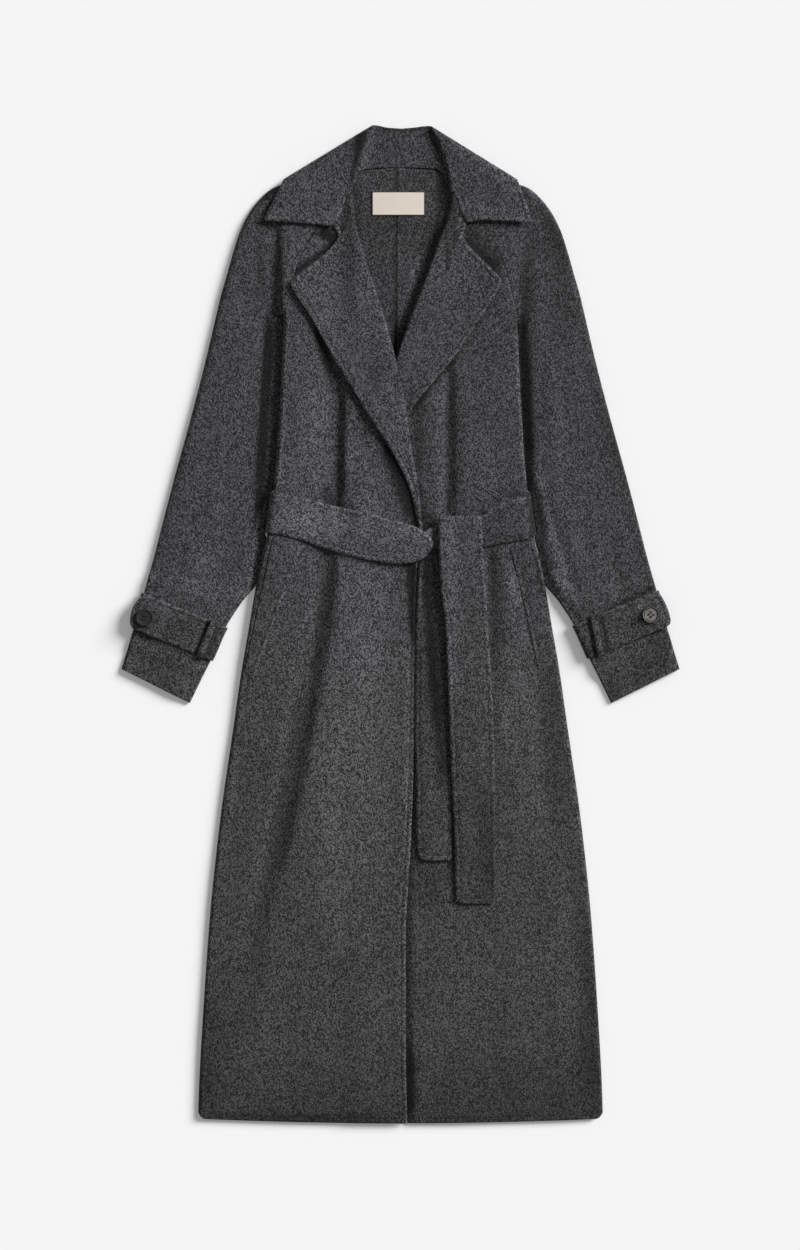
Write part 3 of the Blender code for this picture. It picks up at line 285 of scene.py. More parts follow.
ARM = Table("outer_x outer_y inner_x inner_y", [
    (357, -58, 271, -101),
    (349.5, -34, 257.5, -73),
    (341, -6, 242.5, -43),
    (333, 21, 226, -6),
    (325, 50, 206, 26),
    (314, 90, 184.5, 56),
    (302.5, 135, 173, 98),
    (289, 187, 162.5, 160),
    (270, 256, 156.5, 232),
    (250, 333, 151.5, 312),
    (237, 388, 150, 366),
] + [outer + seam for outer, seam in zip([
    (229, 422), (222, 446), (214.5, 473), (205.5, 501), (194.5, 524), (180, 543.5), (162, 558.5),
    (128, 567.5), (80, 577),
], SIDE_SEAM[SEAM_STEP:])])
BACK_RAGLAN = Table("row seam_x seam_y", [
    (11, 149.5, 390),
    (13, 141, 432),
    (15, 126, 476),
    (17, 99, 524),
    (18, 78, 551),
    (19, 55, 581),
], keyed=True)

# Hidden outer edge of the collar under the back, by distance from the centre
COLLAR_REACH = Table("x y", [
    (0, 530),
    (45, 531),
    (90, 538),
    (120, 546),
    (142, 554),
    (158, 557),
    (178, 640),
], keyed=True)

# Collar from centre back to its front end: the levels of its lines, then where its neck seam, roll line and
# outer edge lie
COLLAR_LEVELS = Table("neck_z low high edge_z", [
    (3.9, 4.3, 1.1, 1.1), (3.9, 4.3, 1.1, 1.1), (4, 4.5, 1.1, 1.1), (4.3, 5, 1.6, 1.1), (5, 6, 6.4, 6.2),
    (6, 6.6, 11, 11), (6.4, 6.8, 11.6, 11), (6.4, 6.9, 11.8, 11), (6.6, 6.9, 11.8, 11),
    (6.9, 7.2, 11.8, 11),
])
COLLAR_RIGHT = Table("neck_x neck_y roll_x roll_y edge_x edge_y", [
    (0.5, 585.5, 0.5, 634, 0.5, 530), (18, 585.2, 18, 635.5, 42, 530.5), (32, 584.5, 29, 637, 96, 539.5),
    (40, 583.5, 33, 637.2, 143, 563), (45, 583.3, 38, 637, 147.5, 569.5),
    (50, 581.5, 43, 629.5, 151, 562.5), (55, 576.5, 49.5, 616.5, 154.5, 553),
    (59, 569, 56.5, 598, 159.5, 539), (61.5, 561.5, 62, 576, 163.5, 526.5),
    (62, 554.5, 65.5, 552.6, 167.3, 513.5),
])
COLLAR_LEFT = Table("neck_x neck_y roll_x roll_y edge_x edge_y", [
    (0.5, 585.5, 0.5, 634, 0.5, 530), (-18, 585.2, -18, 635.5, -42, 530.5),
    (-32, 584.5, -27, 637.5, -96, 539.5), (-40, 583.5, -31, 638.2, -143, 563),
    (-45, 583.3, -35, 638, -148, 569.5), (-50, 581.5, -40, 630.5, -151.5, 562.5),
    (-54, 576.5, -46, 616.5, -156.5, 552), (-57.5, 569, -53, 598, -163.5, 538),
    (-59.5, 561.5, -60, 576, -169.5, 527), (-60, 554.5, -63, 552.4, -174, 516.5),
])
COLLARS = {-1: COLLAR_LEFT, 1: COLLAR_RIGHT}
COLLAR_END = Table("along left_x left_y right_x right_y", [
    (0.25, -85.5, 509.6, 85, 514.6),
    (0.50, -112, 512.3, 108, 517.5),
    (0.75, -145, 514.8, 137, 516),
    (1.00, -174, 516.5, 167.3, 513.5),
], keyed=True)

# The belt's stretches across the front, from top to lower edge, and its hanging ends
LEFT_STRETCH = Table("top_x top_y low_x low_y rise", [
    (-129, 161, -129, 109, 0),
    (-106, 155.5, -104, 100, 0),
    (-84, 150, -79, 91.5, 0),
    (-60, 144.5, -54, 85.5, 0.4),
    (-36, 139, -30, 80.5, 1.4),
    (-14, 132.5, -8, 78, 2.6),
    (8, 126.5, 12, 78.5, 3.4),
    (22, 121.5, 24, 82.5, 3.6),
    (31.5, 115.5, 32.5, 88.5, 3.2),
    (38, 108.5, 38.5, 96, 2.4),
    (40.5, 104.5, 40.5, 100.5, 1.6),
])
RIGHT_STRETCH = Table("top_x top_y low_x low_y rise", [
    (62, 128, 64, 90, 0),
    (80, 130, 82, 93, 0),
    (102, 137, 104, 98.5, 0),
    (112, 145.5, 118, 101.5, 0),
    (127, 155, 134, 104.5, 0),
])
KNOT = Table("top_x top_y low_x low_y rise", [
    (-4, 108, 0, 92, 0.3),
    (12, 110, 14, 91, 0.3),
    (26, 113, 27, 91, 0.2),
    (33, 119, 33, 91, 0),
    (42, 123.5, 42, 91, 0),
    (50, 126, 50, 91, 0),
    (58, 128, 58, 91, 0),
])
LONG_END = Table("y left right rise", [
    (135, 49.5, 101.5, 3.6),
    (127, 49, 102.5, 4.4),
    (110, 49, 103.5, 4),
    (80, 50, 105, 3.4),
    (40, 52.5, 108, 3.2),
    (5, 57.5, 110, 3.2),
    (-67, 61, 115, 3.2),
    (-120, 63, 117.5, 3.2),
    (-174, 65, 119, 3.2),
    (-246, 68.5, 120, 3.2),
    (-290, 70, 120.5, 3.2),
    (-325, 70.6, 121, 0),
    (-357, 71, 121, 0),
])
SHORT_END = Table("y left right rise", [
    (89.5, 27, 60, 0),
    (76, 24.5, 70, 0),
    (50, 22.4, 73, 0),
    (13, 20.6, 72, 0),
    (-67, 19.2, 68, 0),
    (-138, 18.6, 66, 0),
    (-200, 20.5, 66, 0),
    (-260, 21, 66, 0),
    (-302, 23.5, 66, 0),
])

LEFT_WELT = Table("outer_x outer_y inner_x inner_y", [
    (-162, 111, -128, 97),
    (-174, 58, -148, 43),
    (-186.5, 0, -169, -16),
    (-199.5, -62, -190, -72),
])
RIGHT_WELT = Table("outer_x outer_y inner_x inner_y", [
    (164, 108, 140, 97),
    (175.5, 50, 154, 43),
    (186.5, 0, 166, -14),
    (198.5, -50, 176.5, -58.5),
])

# Creases of the laid cloth from start to end: how far each reaches to its left and right,
# how high it stands, or how deep where negative, and how sharp its crest or its foot is
Crease = namedtuple("Crease", "start_x start_y end_x end_y bow left right high sharp")
FRONT_CREASES = [
    Crease(-77, 314, -81, 140, 0, 36, 9, -6.2, 0.6),
    Crease(-68, 300, -70, 150, 0, 5, 34, 1.4, 0),
    Crease(-112, 325, -124, 165, 0, 30, 30, 1.6, 0),
    Crease(-93, 94, -172, -345, 6, 26, 19, -5.8, 0.3),
    Crease(-72, 84, -140, -310, 6, 20, 70, 2.8, 0),
    Crease(63, 330, 63.5, 138, 0, 20, 11, -5.3, 0.45),
    Crease(84, 312, 84, 150, 0, 12, 40, 1.3, 0),
    Crease(113, 92, 124, -40, 0, 12, 14, -1.6, 0.2),
    Crease(135, 82, 145, -30, 0, 15, 20, 1.5, 0),
    Crease(146, -60, 156, -215, 0, 30, 34, 1.5, 0),
    Crease(-190, -230, -218, -600, 0, 40, 26, 1.2, 0),
    Crease(186, -300, 214, -610, 0, 30, 40, 1.2, 0),
]
LEFT_ARM_CREASES = [
    Crease(-240, 165, -272, 22, 0, 42, 34, 2.2, 0),
    Crease(-277, 100, -294, 40, 0, 6, 8, -1.2, 0.5),
    Crease(-232, 262, -241, 150, 0, 16, 12, 1.1, 0),
    Crease(-196, 400, -214, 250, 0, 26, 20, 0.8, 0),
]
RIGHT_ARM_CREASES = [
    Crease(193, 172, 232, 50, 0, 16, 28, 2.8, 0.2),
    Crease(191, 340, 200, 190, 0, 16, 36, 1.8, 0),
    Crease(262, 120, 290, 20, 0, 20, 16, -1.2, 0.1),
    Crease(205, 440, 224, 300, 0, 18, 30, 0.8, 0),
]
ARM_CREASES = {-1: LEFT_ARM_CREASES, 1: RIGHT_ARM_CREASES}
CREASE_FADE = 0.2


def painted_strokes(*rows):
    """Strokes of painted light and shade: straight, soft creases, whose height is a share of the colour, paler where
    positive and darker where negative.

    A row gives a stroke's start and end, its reach to the left and right, and that share.
    """
    return [Crease(*row[:4], 0, *row[4:], 0) for row in rows]


# Painted light and shade on each piece, given stroke by stroke: the pale strokes stand in for light falling on the
# cloth, the dark ones for cast shadows and for shade in creases, hollows and beside higher layers
FRONT_LEFT_PAINTED_SHADING = painted_strokes(
    (-52, 101, -71, -328, 77, 84, 0.41), (-92, 90, -173, -347, 17, 12, -0.49),
    (-199, 5.1, -212, -174, 15, 15, -0.38), (-159, 44, -148, -212, 18, 18, 0.11),
    (13, 97, 17, -20, 12, 12, -1.15), (17, 31, 19, -328, 5.1, 5.1, -0.19),
    (-84, 92, -86, -20, 10, 10, -0.54), (-106, 50, -125, -97, 10, 10, 0.3),
    (-0.6, -545, -0.6, -632, 10, 10, -0.2), (-122, 502, -93, 494, 6.4, 7.7, -0.54),
    (-250, -639, -0.6, -639, 5.1, 22, -0.38), (-257, -637, -0.6, -637, 13, 102, -0.27),
    (-177, -353, -193, -520, 23, 23, -0.27), (-65, 236, -52, 127, 15, 44, 0.61),
    (-121, 306, -113, 210, 28, 28, 0.16), (-148, 428, -158, 152, 7.7, 12, 0.57),
    (-149, 436, -80, 490, 3.8, 10, -1.01), (-100, 507, -79, 486, 7.7, 9, -1.08),
    (-132, 463, -106, 509, 1.9, 2.6, -0.47), (-109, 379, -89, 317, 10, 10, -1.08),
    (-19, 236, 24, 128, 22, 13, -1.08), (-190, 44, -223, -302, 5.1, 6.4, 0.38),
    (-84, -328, -75, -411, 33, 33, 0.24), (-80, 87, -65, 63, 13, 38, 0.27),
    (-250, -481, -250, -622, 26, 31, -0.38), (5.8, 5.1, 7, -315, 3.8, 12, 0.27),
    (-97, 174, -83, 143, 12, 12, -0.68), (-56, 268, -42, 236, 9, 6.4, 0.34),
    (-104, 503, -85, 488, 6.4, 6.4, -0.94),
)
FRONT_RIGHT_PAINTED_SHADING = painted_strokes(
    (12, -637, 255, -637, 13, 134, -0.32), (12, -639, 255, -639, 5.1, 15, -0.16),
    (260, -430, 263, -648, 44, 5.1, -0.41), (223, -302, 243, -481, 23, 23, -0.3),
    (76, 352, 12, 273, 3.8, 12, -0.74), (125, 420, 79, 357, 3.8, 10, -0.34),
    (20, 300, 25, 197, 13, 18, -0.43), (62, 317, 61, 127, 7.7, 5.1, -0.51),
    (62, 159, 65, 138, 7.7, 6.4, -0.54), (79, 515, 138, 456, 33, 20, -0.47),
    (81, 492, 126, 448, 2.6, 15, -0.47), (144, 453, 150, 357, 10, 10, -0.41),
    (8, -302, 11, -632, 2.6, 12, -0.47), (10, -545, 12, -625, 13, 15, -0.81),
    (116, 108, 120, -52, 9, 13, -0.57), (156, 114, 153, 31, 26, 26, 0.46),
    (144, 82, 158, -225, 28, 31, 0.22), (132, -91, 138, -180, 7.7, 9, 0.47),
    (152, -91, 162, -193, 10, 10, -0.3), (35, 143, 47, 125, 10, 10, -0.68),
    (167, 101, 186, 31, 5.1, 6.4, -0.54), (100, 142, 124, 159, 3.8, 3.8, -0.47),
    (124, 159, 162, 170, 3.8, 3.8, -0.47), (189, -20, 204, -264, 26, 28, -0.3),
    (31, -305, 40, -360, 28, 28, -0.38), (115, 236, 127, 133, 28, 31, 0.19),
    (230, -494, 240, -596, 31, 26, -0.24), (232, -72, 253, -430, 9, 5.1, 0.61),
    (153, -328, 158, -494, 26, 26, 0.08),
)
LAPEL_LEFT_PAINTED_SHADING = painted_strokes(
    (-52, 440, -16, 287, 19, 22, 0.35), (-5.8, 293, 17, 159, 12, 12, 0.46), (-21, 408, -11, 335, 9, 9, 0.3),
    (-65, 556, -62, 428, 13, 10, -0.27), (-5.8, 402, 0.6, 306, 7.7, 7.7, -0.68),
    (-77, 515, -72, 481, 10, 10, 0.27), (-144, 428, -116, 376, 10, 10, 0.27),
)
LAPEL_RIGHT_PAINTED_SHADING = painted_strokes(
    (66, 556, 70, 479, 10, 10, -0.61), (58, 515, 60, 447, 3.8, 5.1, -0.61),
    (89, 447, 109, 383, 18, 18, 0.19), (5.8, 315, 20, 223, 6.4, 17, -0.27),
)
SLEEVE_LEFT_PAINTED_SHADING = painted_strokes(
    (-167, 383, -185, 133, 9, 12, -1.15), (-170, 376, -180, 165, 7.7, 6.4, -1.08),
    (-177, 498, -177, 415, 13, 13, -0.41), (-147, 573, -180, 540, 12, 7.7, -0.81),
    (-216, 536, -342, -33, 5.1, 10, 0.68), (-250, 114, -269, 31, 31, 36, 0.19),
    (-276, 223, -301, 82, 18, 18, -0.19), (-221, 492, -236, 376, 20, 20, -0.19),
    (-340, -51, -276, -90, 32, 18, -0.19), (-333, -13, -260, -46, 4.5, 2.6, -0.41),
    (-180, 140, -196, 46, 5.1, 10, 1.08), (-269, -46, -244, -40, 18, 18, 0.68),
)
SLEEVE_RIGHT_PAINTED_SHADING = painted_strokes(
    (154, 479, 163, 159, 9, 19, -0.68), (171, 204, 220, 41, 12, 12, 0.68),
    (191, 120, 217, 56, 7.7, 7.7, 0.16), (189, 504, 223, 376, 26, 38, -0.24),
    (164, 351, 170, 197, 6.4, 6.4, -0.47), (157, 197, 177, 56, 7.7, 7.7, -0.84),
    (250, 479, 300, 197, 49, 44, -0.65), (217, 498, 326, 31, 12, 12, -0.51),
    (191, 556, 236, 453, 38, 44, -0.65), (319, -33, 348, -20, 18, 23, -0.27),
    (275, -84, 351, -46, 10, 33, -0.22), (199, 56, 260, -97, 3.8, 15, 1.22),
    (193, 325, 199, 197, 18, 18, 0.16), (259, 15, 322, 46, 2.6, 4.5, -1.08),
    (243, -40, 342, -3.8, 4.5, 3.8, -0.68),
)
COLLAR_PAINTED_SHADING = painted_strokes(
    (-51, 639, -61, 556, 7.7, 12, -1.15), (-58, 635, 63, 635, 26, 5.1, -0.54),
    (89, 532, 161, 515, 13, 18, 0.49), (-177, 525, -90, 515, 10, 15, 0.22),
    (-74, 536, -71, 485, 12, 9, 1.49), (-54, 607, -11, 622, 23, 20, -0.81),
    (62, 549, 79, 520, 3.8, 3.8, -0.41), (-216, 562, -103, 609, 18, 31, -0.73),
    (66, 549, 71, 492, 10, 10, -0.61), (-154, 588, -71, 620, 18, 15, -0.22),
    (166, 562, 185, 549, 10, 10, -0.41),
)
BACK_PAINTED_SHADING = painted_strokes(
    (-4.5, 387, 0.6, 335, 10, 10, -0.81), (22, 466, -0.6, 383, 9, 7.7, 1.08),
    (49, 579, 52, 536, 7.7, 6.4, -0.61), (52, 536, 36, 472, 7.7, 5.1, -0.54),
    (-60, 566, -56, 485, 5.1, 9, -0.35), (-51, 585, -62, 567, 3.2, 3.8, -0.74),
)
STAND_PAINTED_SHADING = painted_strokes(
    (39, 635, 54, 584, 7.7, 5.1, -0.54), (-20, 635, -20, 586, 38, 38, -0.14),
)
STRETCH_LEFT_PAINTED_SHADING = painted_strokes(
    (-141, 133, 31, 101, 33, 28, 0.34), (-74, 146, -62, 88, 23, 23, 0.41),
)
SHORT_END_PAINTED_SHADING = painted_strokes(
    (30, 104, 45, -116, 13, 17, -0.74), (38, -20, 53, -212, 12, 13, -0.32),
    (48, -84, 54, -200, 10, 12, -0.41), (26, 84, 26, -20, 3.8, 5.1, 0.68),
)
STRETCH_RIGHT_PAINTED_SHADING = painted_strokes(
    (163, 187, 176, 63, 7.7, 10, -0.74), (103, 134, 124, 150, 3.8, 3.8, 0.68),
    (126, 151, 163, 161, 3.8, 3.8, 0.68),
)
KNOT_PAINTED_SHADING = painted_strokes(
    (44, 128, 47, 105, 6.4, 6.4, 1.08),
)
LONG_END_PAINTED_SHADING = painted_strokes(
    (58, 152, 65, -97, 10, 20, 0.76), (79, 82, 84, -97, 26, 28, 0.08),
    (107, -212, 115, -360, 31, 23, -0.41), (115, -116, 121, -353, 13, 10, -0.19),
    (62, -97, 67, -302, 3.8, 6.4, 0.34),
)
STRAP_LEFT_PAINTED_SHADING = painted_strokes(
    (-245, 7.7, -262, -41, 3.2, 2.6, -0.81), (-231, 0, -249, -45, 3.8, 3.8, -0.68),
    (-228, -5.1, -239, -40, 7.7, 7.7, -0.27), (-337, 18, -289, -20, 18, 18, -0.19),
    (-321, 20, -257, -14, 13, 13, -0.16),
)
STRAP_RIGHT_PAINTED_SHADING = painted_strokes(
    (240, 10, 250, -41, 3.8, 2.6, -0.81), (257, 13, 266, -38, 3.8, 3.8, -1.01),
    (303, 28, 308, -10, 7.7, 9, 0.94),
)
FRONT_PAINTED_SHADING = {-1: FRONT_LEFT_PAINTED_SHADING, 1: FRONT_RIGHT_PAINTED_SHADING}
LAPEL_PAINTED_SHADING = {-1: LAPEL_LEFT_PAINTED_SHADING, 1: LAPEL_RIGHT_PAINTED_SHADING}
SLEEVE_PAINTED_SHADING = {-1: SLEEVE_LEFT_PAINTED_SHADING, 1: SLEEVE_RIGHT_PAINTED_SHADING}
STRAP_PAINTED_SHADING = {-1: STRAP_LEFT_PAINTED_SHADING, 1: STRAP_RIGHT_PAINTED_SHADING}
PAINTED_SHADING_DARKEST = -0.85

# The sleeve: where its inner edge tucks in, its folds, and its rows of the table above
UNDERARM_ROW = 11
COLLAR_OVER_ROW = 9
SHOULDER_ROWS = (10, 14)
SHOULDER_RISE = 1.6
UNDERARM_RISE_ROWS = (10.2, 11.0)
SLEEVE_TUCK = 2.4
SLEEVE_CLEARANCE = 0.6
TUCK_ZONE = (40.0, 70.0)
UNDERARM_ZONE = (345.0, 385.0)
BELT_ZONE = (113.0, 171.0)
BELT_ZONE_FADE = 6.0
SLEEVE_OUTER_ROUND = 9.0
SLEEVE_FOLD = 1.25
BEND_SHARE = 0.3
FOLD_SHARE = 0.1
SLEEVE_UPPER = 6.4
OUTER_FOLD_SHARE = 0.45
LOWER_BLEND = 26.0
UPPER_BLEND = {-1: 26.0, 1: 15.0}
SLEEVE_LOFT = {-1: 1.6, 1: 2.6}
SLEEVE_LOFT_ROWS = (1.0, 4.5, 14.0, 11.5)
SLEEVE_DRIFT_SHIFT = 400.0
LOWER_EASING = 0.3
UPPER_CROWDING = 1.3

# Collar, lapels and their rolled edges
COLLAR_ROLL_MIN = 1.7
STAND_MIN = 0.6
STAND_END_STEPS = (7.6, 9.0)
FALL_END_STEPS = (9.0, 6.8)
COLLAR_WING_LIFT = 4.2
WING_STEPS = (4.2, 7.5)
COLLAR_DRIFT_STEPS = (4.5, 6.0)
COLLAR_DRIFT_SHIFT = 300.0
Lapel = namedtuple("Lapel", "edge radius outward curl")
ROLL_RADIUS = 2.0
ROLL_GROWTH = 0.7
# Painted shade over the left lapel's rolled edge, strongest at its crest
ROLL_SHADE = {-1: 0.3, 1: 0.0}
ROLL_GROWTH_STEPS = (3, 6)
LAPEL_SETTLED = 0.77
TIP_STEP = 7
TIP_ROUND = 0.22
END_ROUND = 6.0
LAPEL_GAP = 0.9
CURL_START = 0.35
CURL_REACH = (6.0, 40.0)
LAPEL_CURL = {
    -1: Table("step high", [
        (0, 0.6), (1, 2.6), (4, 3.8), (7, 2.2), (9, 2.0), (11, 0.2), (13, 0),
    ], keyed=True),
    1: Table("step high", [
        (0, 0), (3.5, 0), (5, 1.0), (7, 1.6), (9, 1.4), (11, 0.2), (13, 0),
    ], keyed=True),
}

# The belt's bend round the sides, its back stretch and the turn of its long end
BACK_STRETCH = (116.0, 169.0)
BELT_BULGE = 2.6
BELT_WRAP_DEPTH = 14.0
BELT_WRAP_SQUARE = 0.77
BELT_AT_BEND = {-1: (115.5, 166.0), 1: (108.0, 162.0)}
BELT_SOFTNESS = 1.5
BELT_CROWN = 0.6
SHORT_END_SINK = 0.6
END_LOOP = 1.8
END_LOOP_FLAT = 1.45
END_LOOP_TURN = 0.6
END_LOOP_STEPS = 8
HANG_END = 9.0
HANG_STEP = 4.0
STEP_BAND = (20.0, 2.0)
LONG_END_LIFT = Table("y high", [
    (-357, 0), (-330, 0), (-260, 1.6), (-120, 3.8), (20, 6.6), (90, 7.4), (140, 4.0),
], keyed=True)

# The sleeve's two edges, in the order in which sleeve_frame gives them
OUTER, INNER = 0, 1

# Cuff strap across the sleeve, at a row of the sleeve's table, with its tab, loop and button
STRAP_ROW = 2.75
STRAP_START = {-1: (-234.0, -25.0), 1: (232.5, -22.3)}
STRAP_TURN = radians(22.4)
STRAP_WIDTH = 46.0
STRAP_BEND = 9.0
STRAP_SQUARE = 0.68
STRAP_COVER = 1.9
STRAP_COVER_FADE = 0.6
STRAP_LIFT = 3.3
STRAP_UPPER_LIFT = 2.4
STRAP_SEAT = 6.2
STRAP_TOP = STRAP_SEAT + STRAP_UPPER_LIFT + CLOTH / 2 + LAYER_GAP + BELT_CLOTH
STRAP_TAB_REACH = {-1: 2.5, 1: 4.5}
STRAP_TAB_POINT = {-1: 6.5, 1: 3.0}
STRAP_TAB_CORNER = 6.0
STRAP_TAB_DROP = 0.6
STRAP_TAB_FALL = (0.6, 1.0)
STRAP_FLOOR_GAP = 0.2
STRAP_TOP_GAP = 0.4

# The strap's way round the cuff, in shares of the sleeve's width. It starts at its hidden end, lies
# under the sleeve and then over it, and climbs over that end; each stretch has a start, an end and a step
STRAP_HIDDEN = (0.8, 0.85, 0.9)
STRAP_UNDER = (0.72, 0.28, 0.06)
STRAP_OVER = (0.2, 0.64, 0.03)
STRAP_CLIMB = (0.66, 0.8, 0.02)
STRAP_CLIMB_BAND = (0.64, 0.78)
STRAP_TURN_STEPS = 16
STRAP_TAB_STEPS = 12

LOOP_LENGTH = {-1: 49.0, 1: 52.0}
LOOP_WIDTH = 11.5
# Painted shade darkening the loop's outermost columns at both edges, as the shade along its sides
LOOP_EDGE_SHADE = (0.8, 0.6, 0.1)
LOOP_INSET = {-1: 14.0, 1: 21.0}
LOOP_TURN = {-1: 0.0, 1: radians(-11)}
LOOP_END_GAP = 0.6
LOOP_END_CLEAR = 0.3
LOOP_CLEAR = 0.6
LOOP_BEND = 0.07
LOOP_BULGE = 0.8
LOOP_STEPS, LOOP_COLUMNS = 40, 8

# Rows between which the sleeve's edge beside the strap is looked for, and how often the span is halved
EDGE_ROWS = (0.0, 2.2 * STRAP_ROW)
EDGE_TRIALS = 24

BUTTON_AT = {-1: (-326.8, 8.1), 1: (319.7, 11.9)}
BUTTON_GAP = 0.4
BUTTON_RADIUS = 11.2
BUTTON_THICK = 3.4
BUTTON_RAISE = 0.3
BUTTON_DISH = 1.1
BUTTON_SPIN = radians(18)
BUTTONHOLE = (8.0, 1.4, 0.5)
BUTTONHOLE_TUCK = 0.4
BUTTONHOLE_SHIFT = (0.0, -1.5)
HOLE_SPREAD, HOLE_RADIUS, HOLE_DEPTH = 2.2, 1.45, 0.24
THREAD_RADIUS, THREAD_LIFT = 0.62, 0.35
# Rings of the button's face, by inset from its edge, painted with shade: its dark outline and its groove
PAINTED_SHADE_RINGS = ((-1.0, 1.3), (1.9, 3.2))
BUTTON_STEPS = 64

# The button's materials, by their index in its mesh: the shadow is painted shade in the holes and the buttonhole,
# and the last paints shade on the button's outline and groove rings
HORN, THREAD, SHADOW, SHADE_RING = range(4)

LABEL_LEFT, LABEL_RIGHT, LABEL_LOW, LABEL_HIGH = -36.5, 31.0, 523.5, 554.0
LABEL_BOW = 0.5
LABEL_STEP = 1.6

# Finished edges: a soft roll, and a sewn groove a little way in
RIM_FALL = 0.9
RIM_ROUND = 3.2
GROOVE_DEPTH = 0.5
GROOVE_WIDTH = 1.6
RIM_FAR = 60.0
RIM_POINT_GAP = 0.7
RIM_BREAK = 15.0

# How finely each piece is divided
ROW_STEP = 5.0
UPPER_PER_STEP = 8
BACK_ROW_STEP = 7.0
CLOSE_COLUMNS = [0.0, 0.7, 1.6, 2.8, 4.2, 5.8, 7.8, 10.4, 14.0]
HEM_ROWS = [HEM_Y + c for c in CLOSE_COLUMNS]
RIM_COLUMNS = [0.0, 0.8, 1.8, 3.0, 4.2, 5.4, 6.6, 8.0, 10.0]
NARROW_BAND = (40.0, 110.0)
FRONT_FILL = 58
BACK_FILL = 34
LAPEL_FILL = 22
ROLL_STEPS = 10
BACK_SEAM_ROWS = (11, 19)
SLEEVE_PER_ROW = 9
SLEEVE_LOWER_FILL = 14
SLEEVE_UPPER_FILL = 34
SLEEVE_BEND_STEPS = 7
COLLAR_PER_STEP = 8
STAND_STEPS = 8
FALL_STEPS = 30
BELT_WRAP_STEPS = 16
BELT_BACK_STEPS = 40
STRETCH_PER_STEP = 6
WELT_STEP = 0.06

# Shares across the belt, the straps and the welts, close together at both edges
BELT_SHARES = [0.0, 0.02, 0.045, 0.075, 0.11, 0.15, 0.2, 0.29, 0.39, 0.5, 0.61, 0.71, 0.8, 0.85, 0.89, 0.925,
               0.955, 0.98, 1.0]

# The wool's pattern in metres, and its turn from the grain in degrees
TWILL_TURN = 45
FUZZ_TURN = 12
# A wave texture of this scale has one band to a unit
RIB_WAVE = 0.314
FUZZ_SIZE = 0.0007
CLOUD_SIZE = (0.05, 0.07)
# Reach of the painted highlight at finished edges, and of the painted shade in the sewn groove
EDGE_HIGHLIGHT_REACH = 0.0034
GROOVE_REACH = 0.0019
HEM_CAST, SHOULDER_CAST = (0.94, 0.915, 0.88), (1.0, 0.995, 1.03)

# Camera straight above the coat, and half the floor's width, in metres
CAMERA_AT = (-0.00064, -0.00128, 3.788)
CAMERA_LENS, CAMERA_SENSOR, CAMERA_END = 85, 36, 50
FLOOR_HALF = 6


def crease_height(creases, x, y):
    """Height that some creases add at a point."""
    total = 0.0
    for crease in creases:
        run_x, run_y = crease.end_x - crease.start_x, crease.end_y - crease.start_y
        off_x, off_y = x - crease.start_x, y - crease.start_y
        squared = run_x * run_x + run_y * run_y
        t = (off_x * run_x + off_y * run_y) / squared
        if not -CREASE_FADE < t < 1 + CREASE_FADE:
            continue
        aside = (off_y * run_x - off_x * run_y) / sqrt(squared) - crease.bow * 4 * t * (1 - t)
        share = 1 - abs(aside) / (crease.right if aside > 0 else crease.left)
        if share > 0:
            fade = ramp(t, -CREASE_FADE, CREASE_FADE) * ramp(t, 1 + CREASE_FADE, 1 - CREASE_FADE)
            total += crease.high * fade * mix(ease(share), share ** 1.5, crease.sharp)
    return total


def painted_shading(strokes, x, y):
    """Share by which a point is painted paler or darker, as painted light and shade, never darker than the darkest
    share.
    """
    return max(crease_height(strokes, x, y), PAINTED_SHADING_DARKEST)


def drift(x, y):
    """Slow unevenness of the laid cloth."""
    return DRIFT * noise.noise(Vector((x / DRIFT_ACROSS, y / DRIFT_ALONG, 0.5)))


def side_distance(x, y):
    """Distance in from the body's side edge, or from the underarm above it."""
    if y <= UNDERARM_Y:
        return BODY.half_width(y) - abs(x)
    return hypot(max(BODY.half_width(UNDERARM_Y) - abs(x), 0.0), UNDERARM_FADE * (y - UNDERARM_Y))


def under_level(x, y, creased=0.0):
    """Middle of the cloth of the lower front; creased is 1 for the cloth itself."""
    side = -1 if x < 0 else 1
    low, low_full, high, high_full = PUFF_ZONE
    puff = SIDE_PUFF[side] * ramp(y, low, low_full) * ramp(y, high, high_full)
    inner = FRONT_LEVEL - HEM_SETTLING * ramp(y, *HEM_SETTLING_ZONE)
    level = mix(BODY.crown(y) + puff, inner, ramp(BODY.half_width(y) - abs(x), *CROWN_BAND))
    low, low_full, high, high_full = LOFT_ZONE
    inward = max(ramp(BODY.half_width(y) - abs(x), *LOFT_BAND), ramp(y, *PUFF_ZONE[:2]))
    level += LOFT * inward * ramp(y, low, low_full) * ramp(y, high, high_full)
    relief = crease_height(FRONT_CREASES, x, y) + drift(x, y)
    level += relief if creased else max(relief, 0.0)
    rim = BODY.rim(y)
    return rim + (level - rim) * dome((side_distance(x, y) - CLOTH / 2) / SIDE_ROUND)


def upper_edge(y):
    """Where the upper front's edge, or its rolled edge, lies."""
    return FRONT_EDGE.left(y) if y < BREAK_Y else LEFT_ROLL(y)


def sink(x, y):
    """How far the lower front sinks where it passes under the upper one."""
    return SINK * ramp(x - upper_edge(y), *SINK_BAND) * ramp(y, *SINK_TOP)


def lapel_crossing(x, y):
    """Share of the rise where the upper front passes over the lower front's lapel."""
    sideways = ramp(x - RIGHT_ROLL(y), *CROSSING_BAND)
    return sideways * ramp(y, *CROSSING_FOOT) * ramp(y, *CROSSING_HEAD)


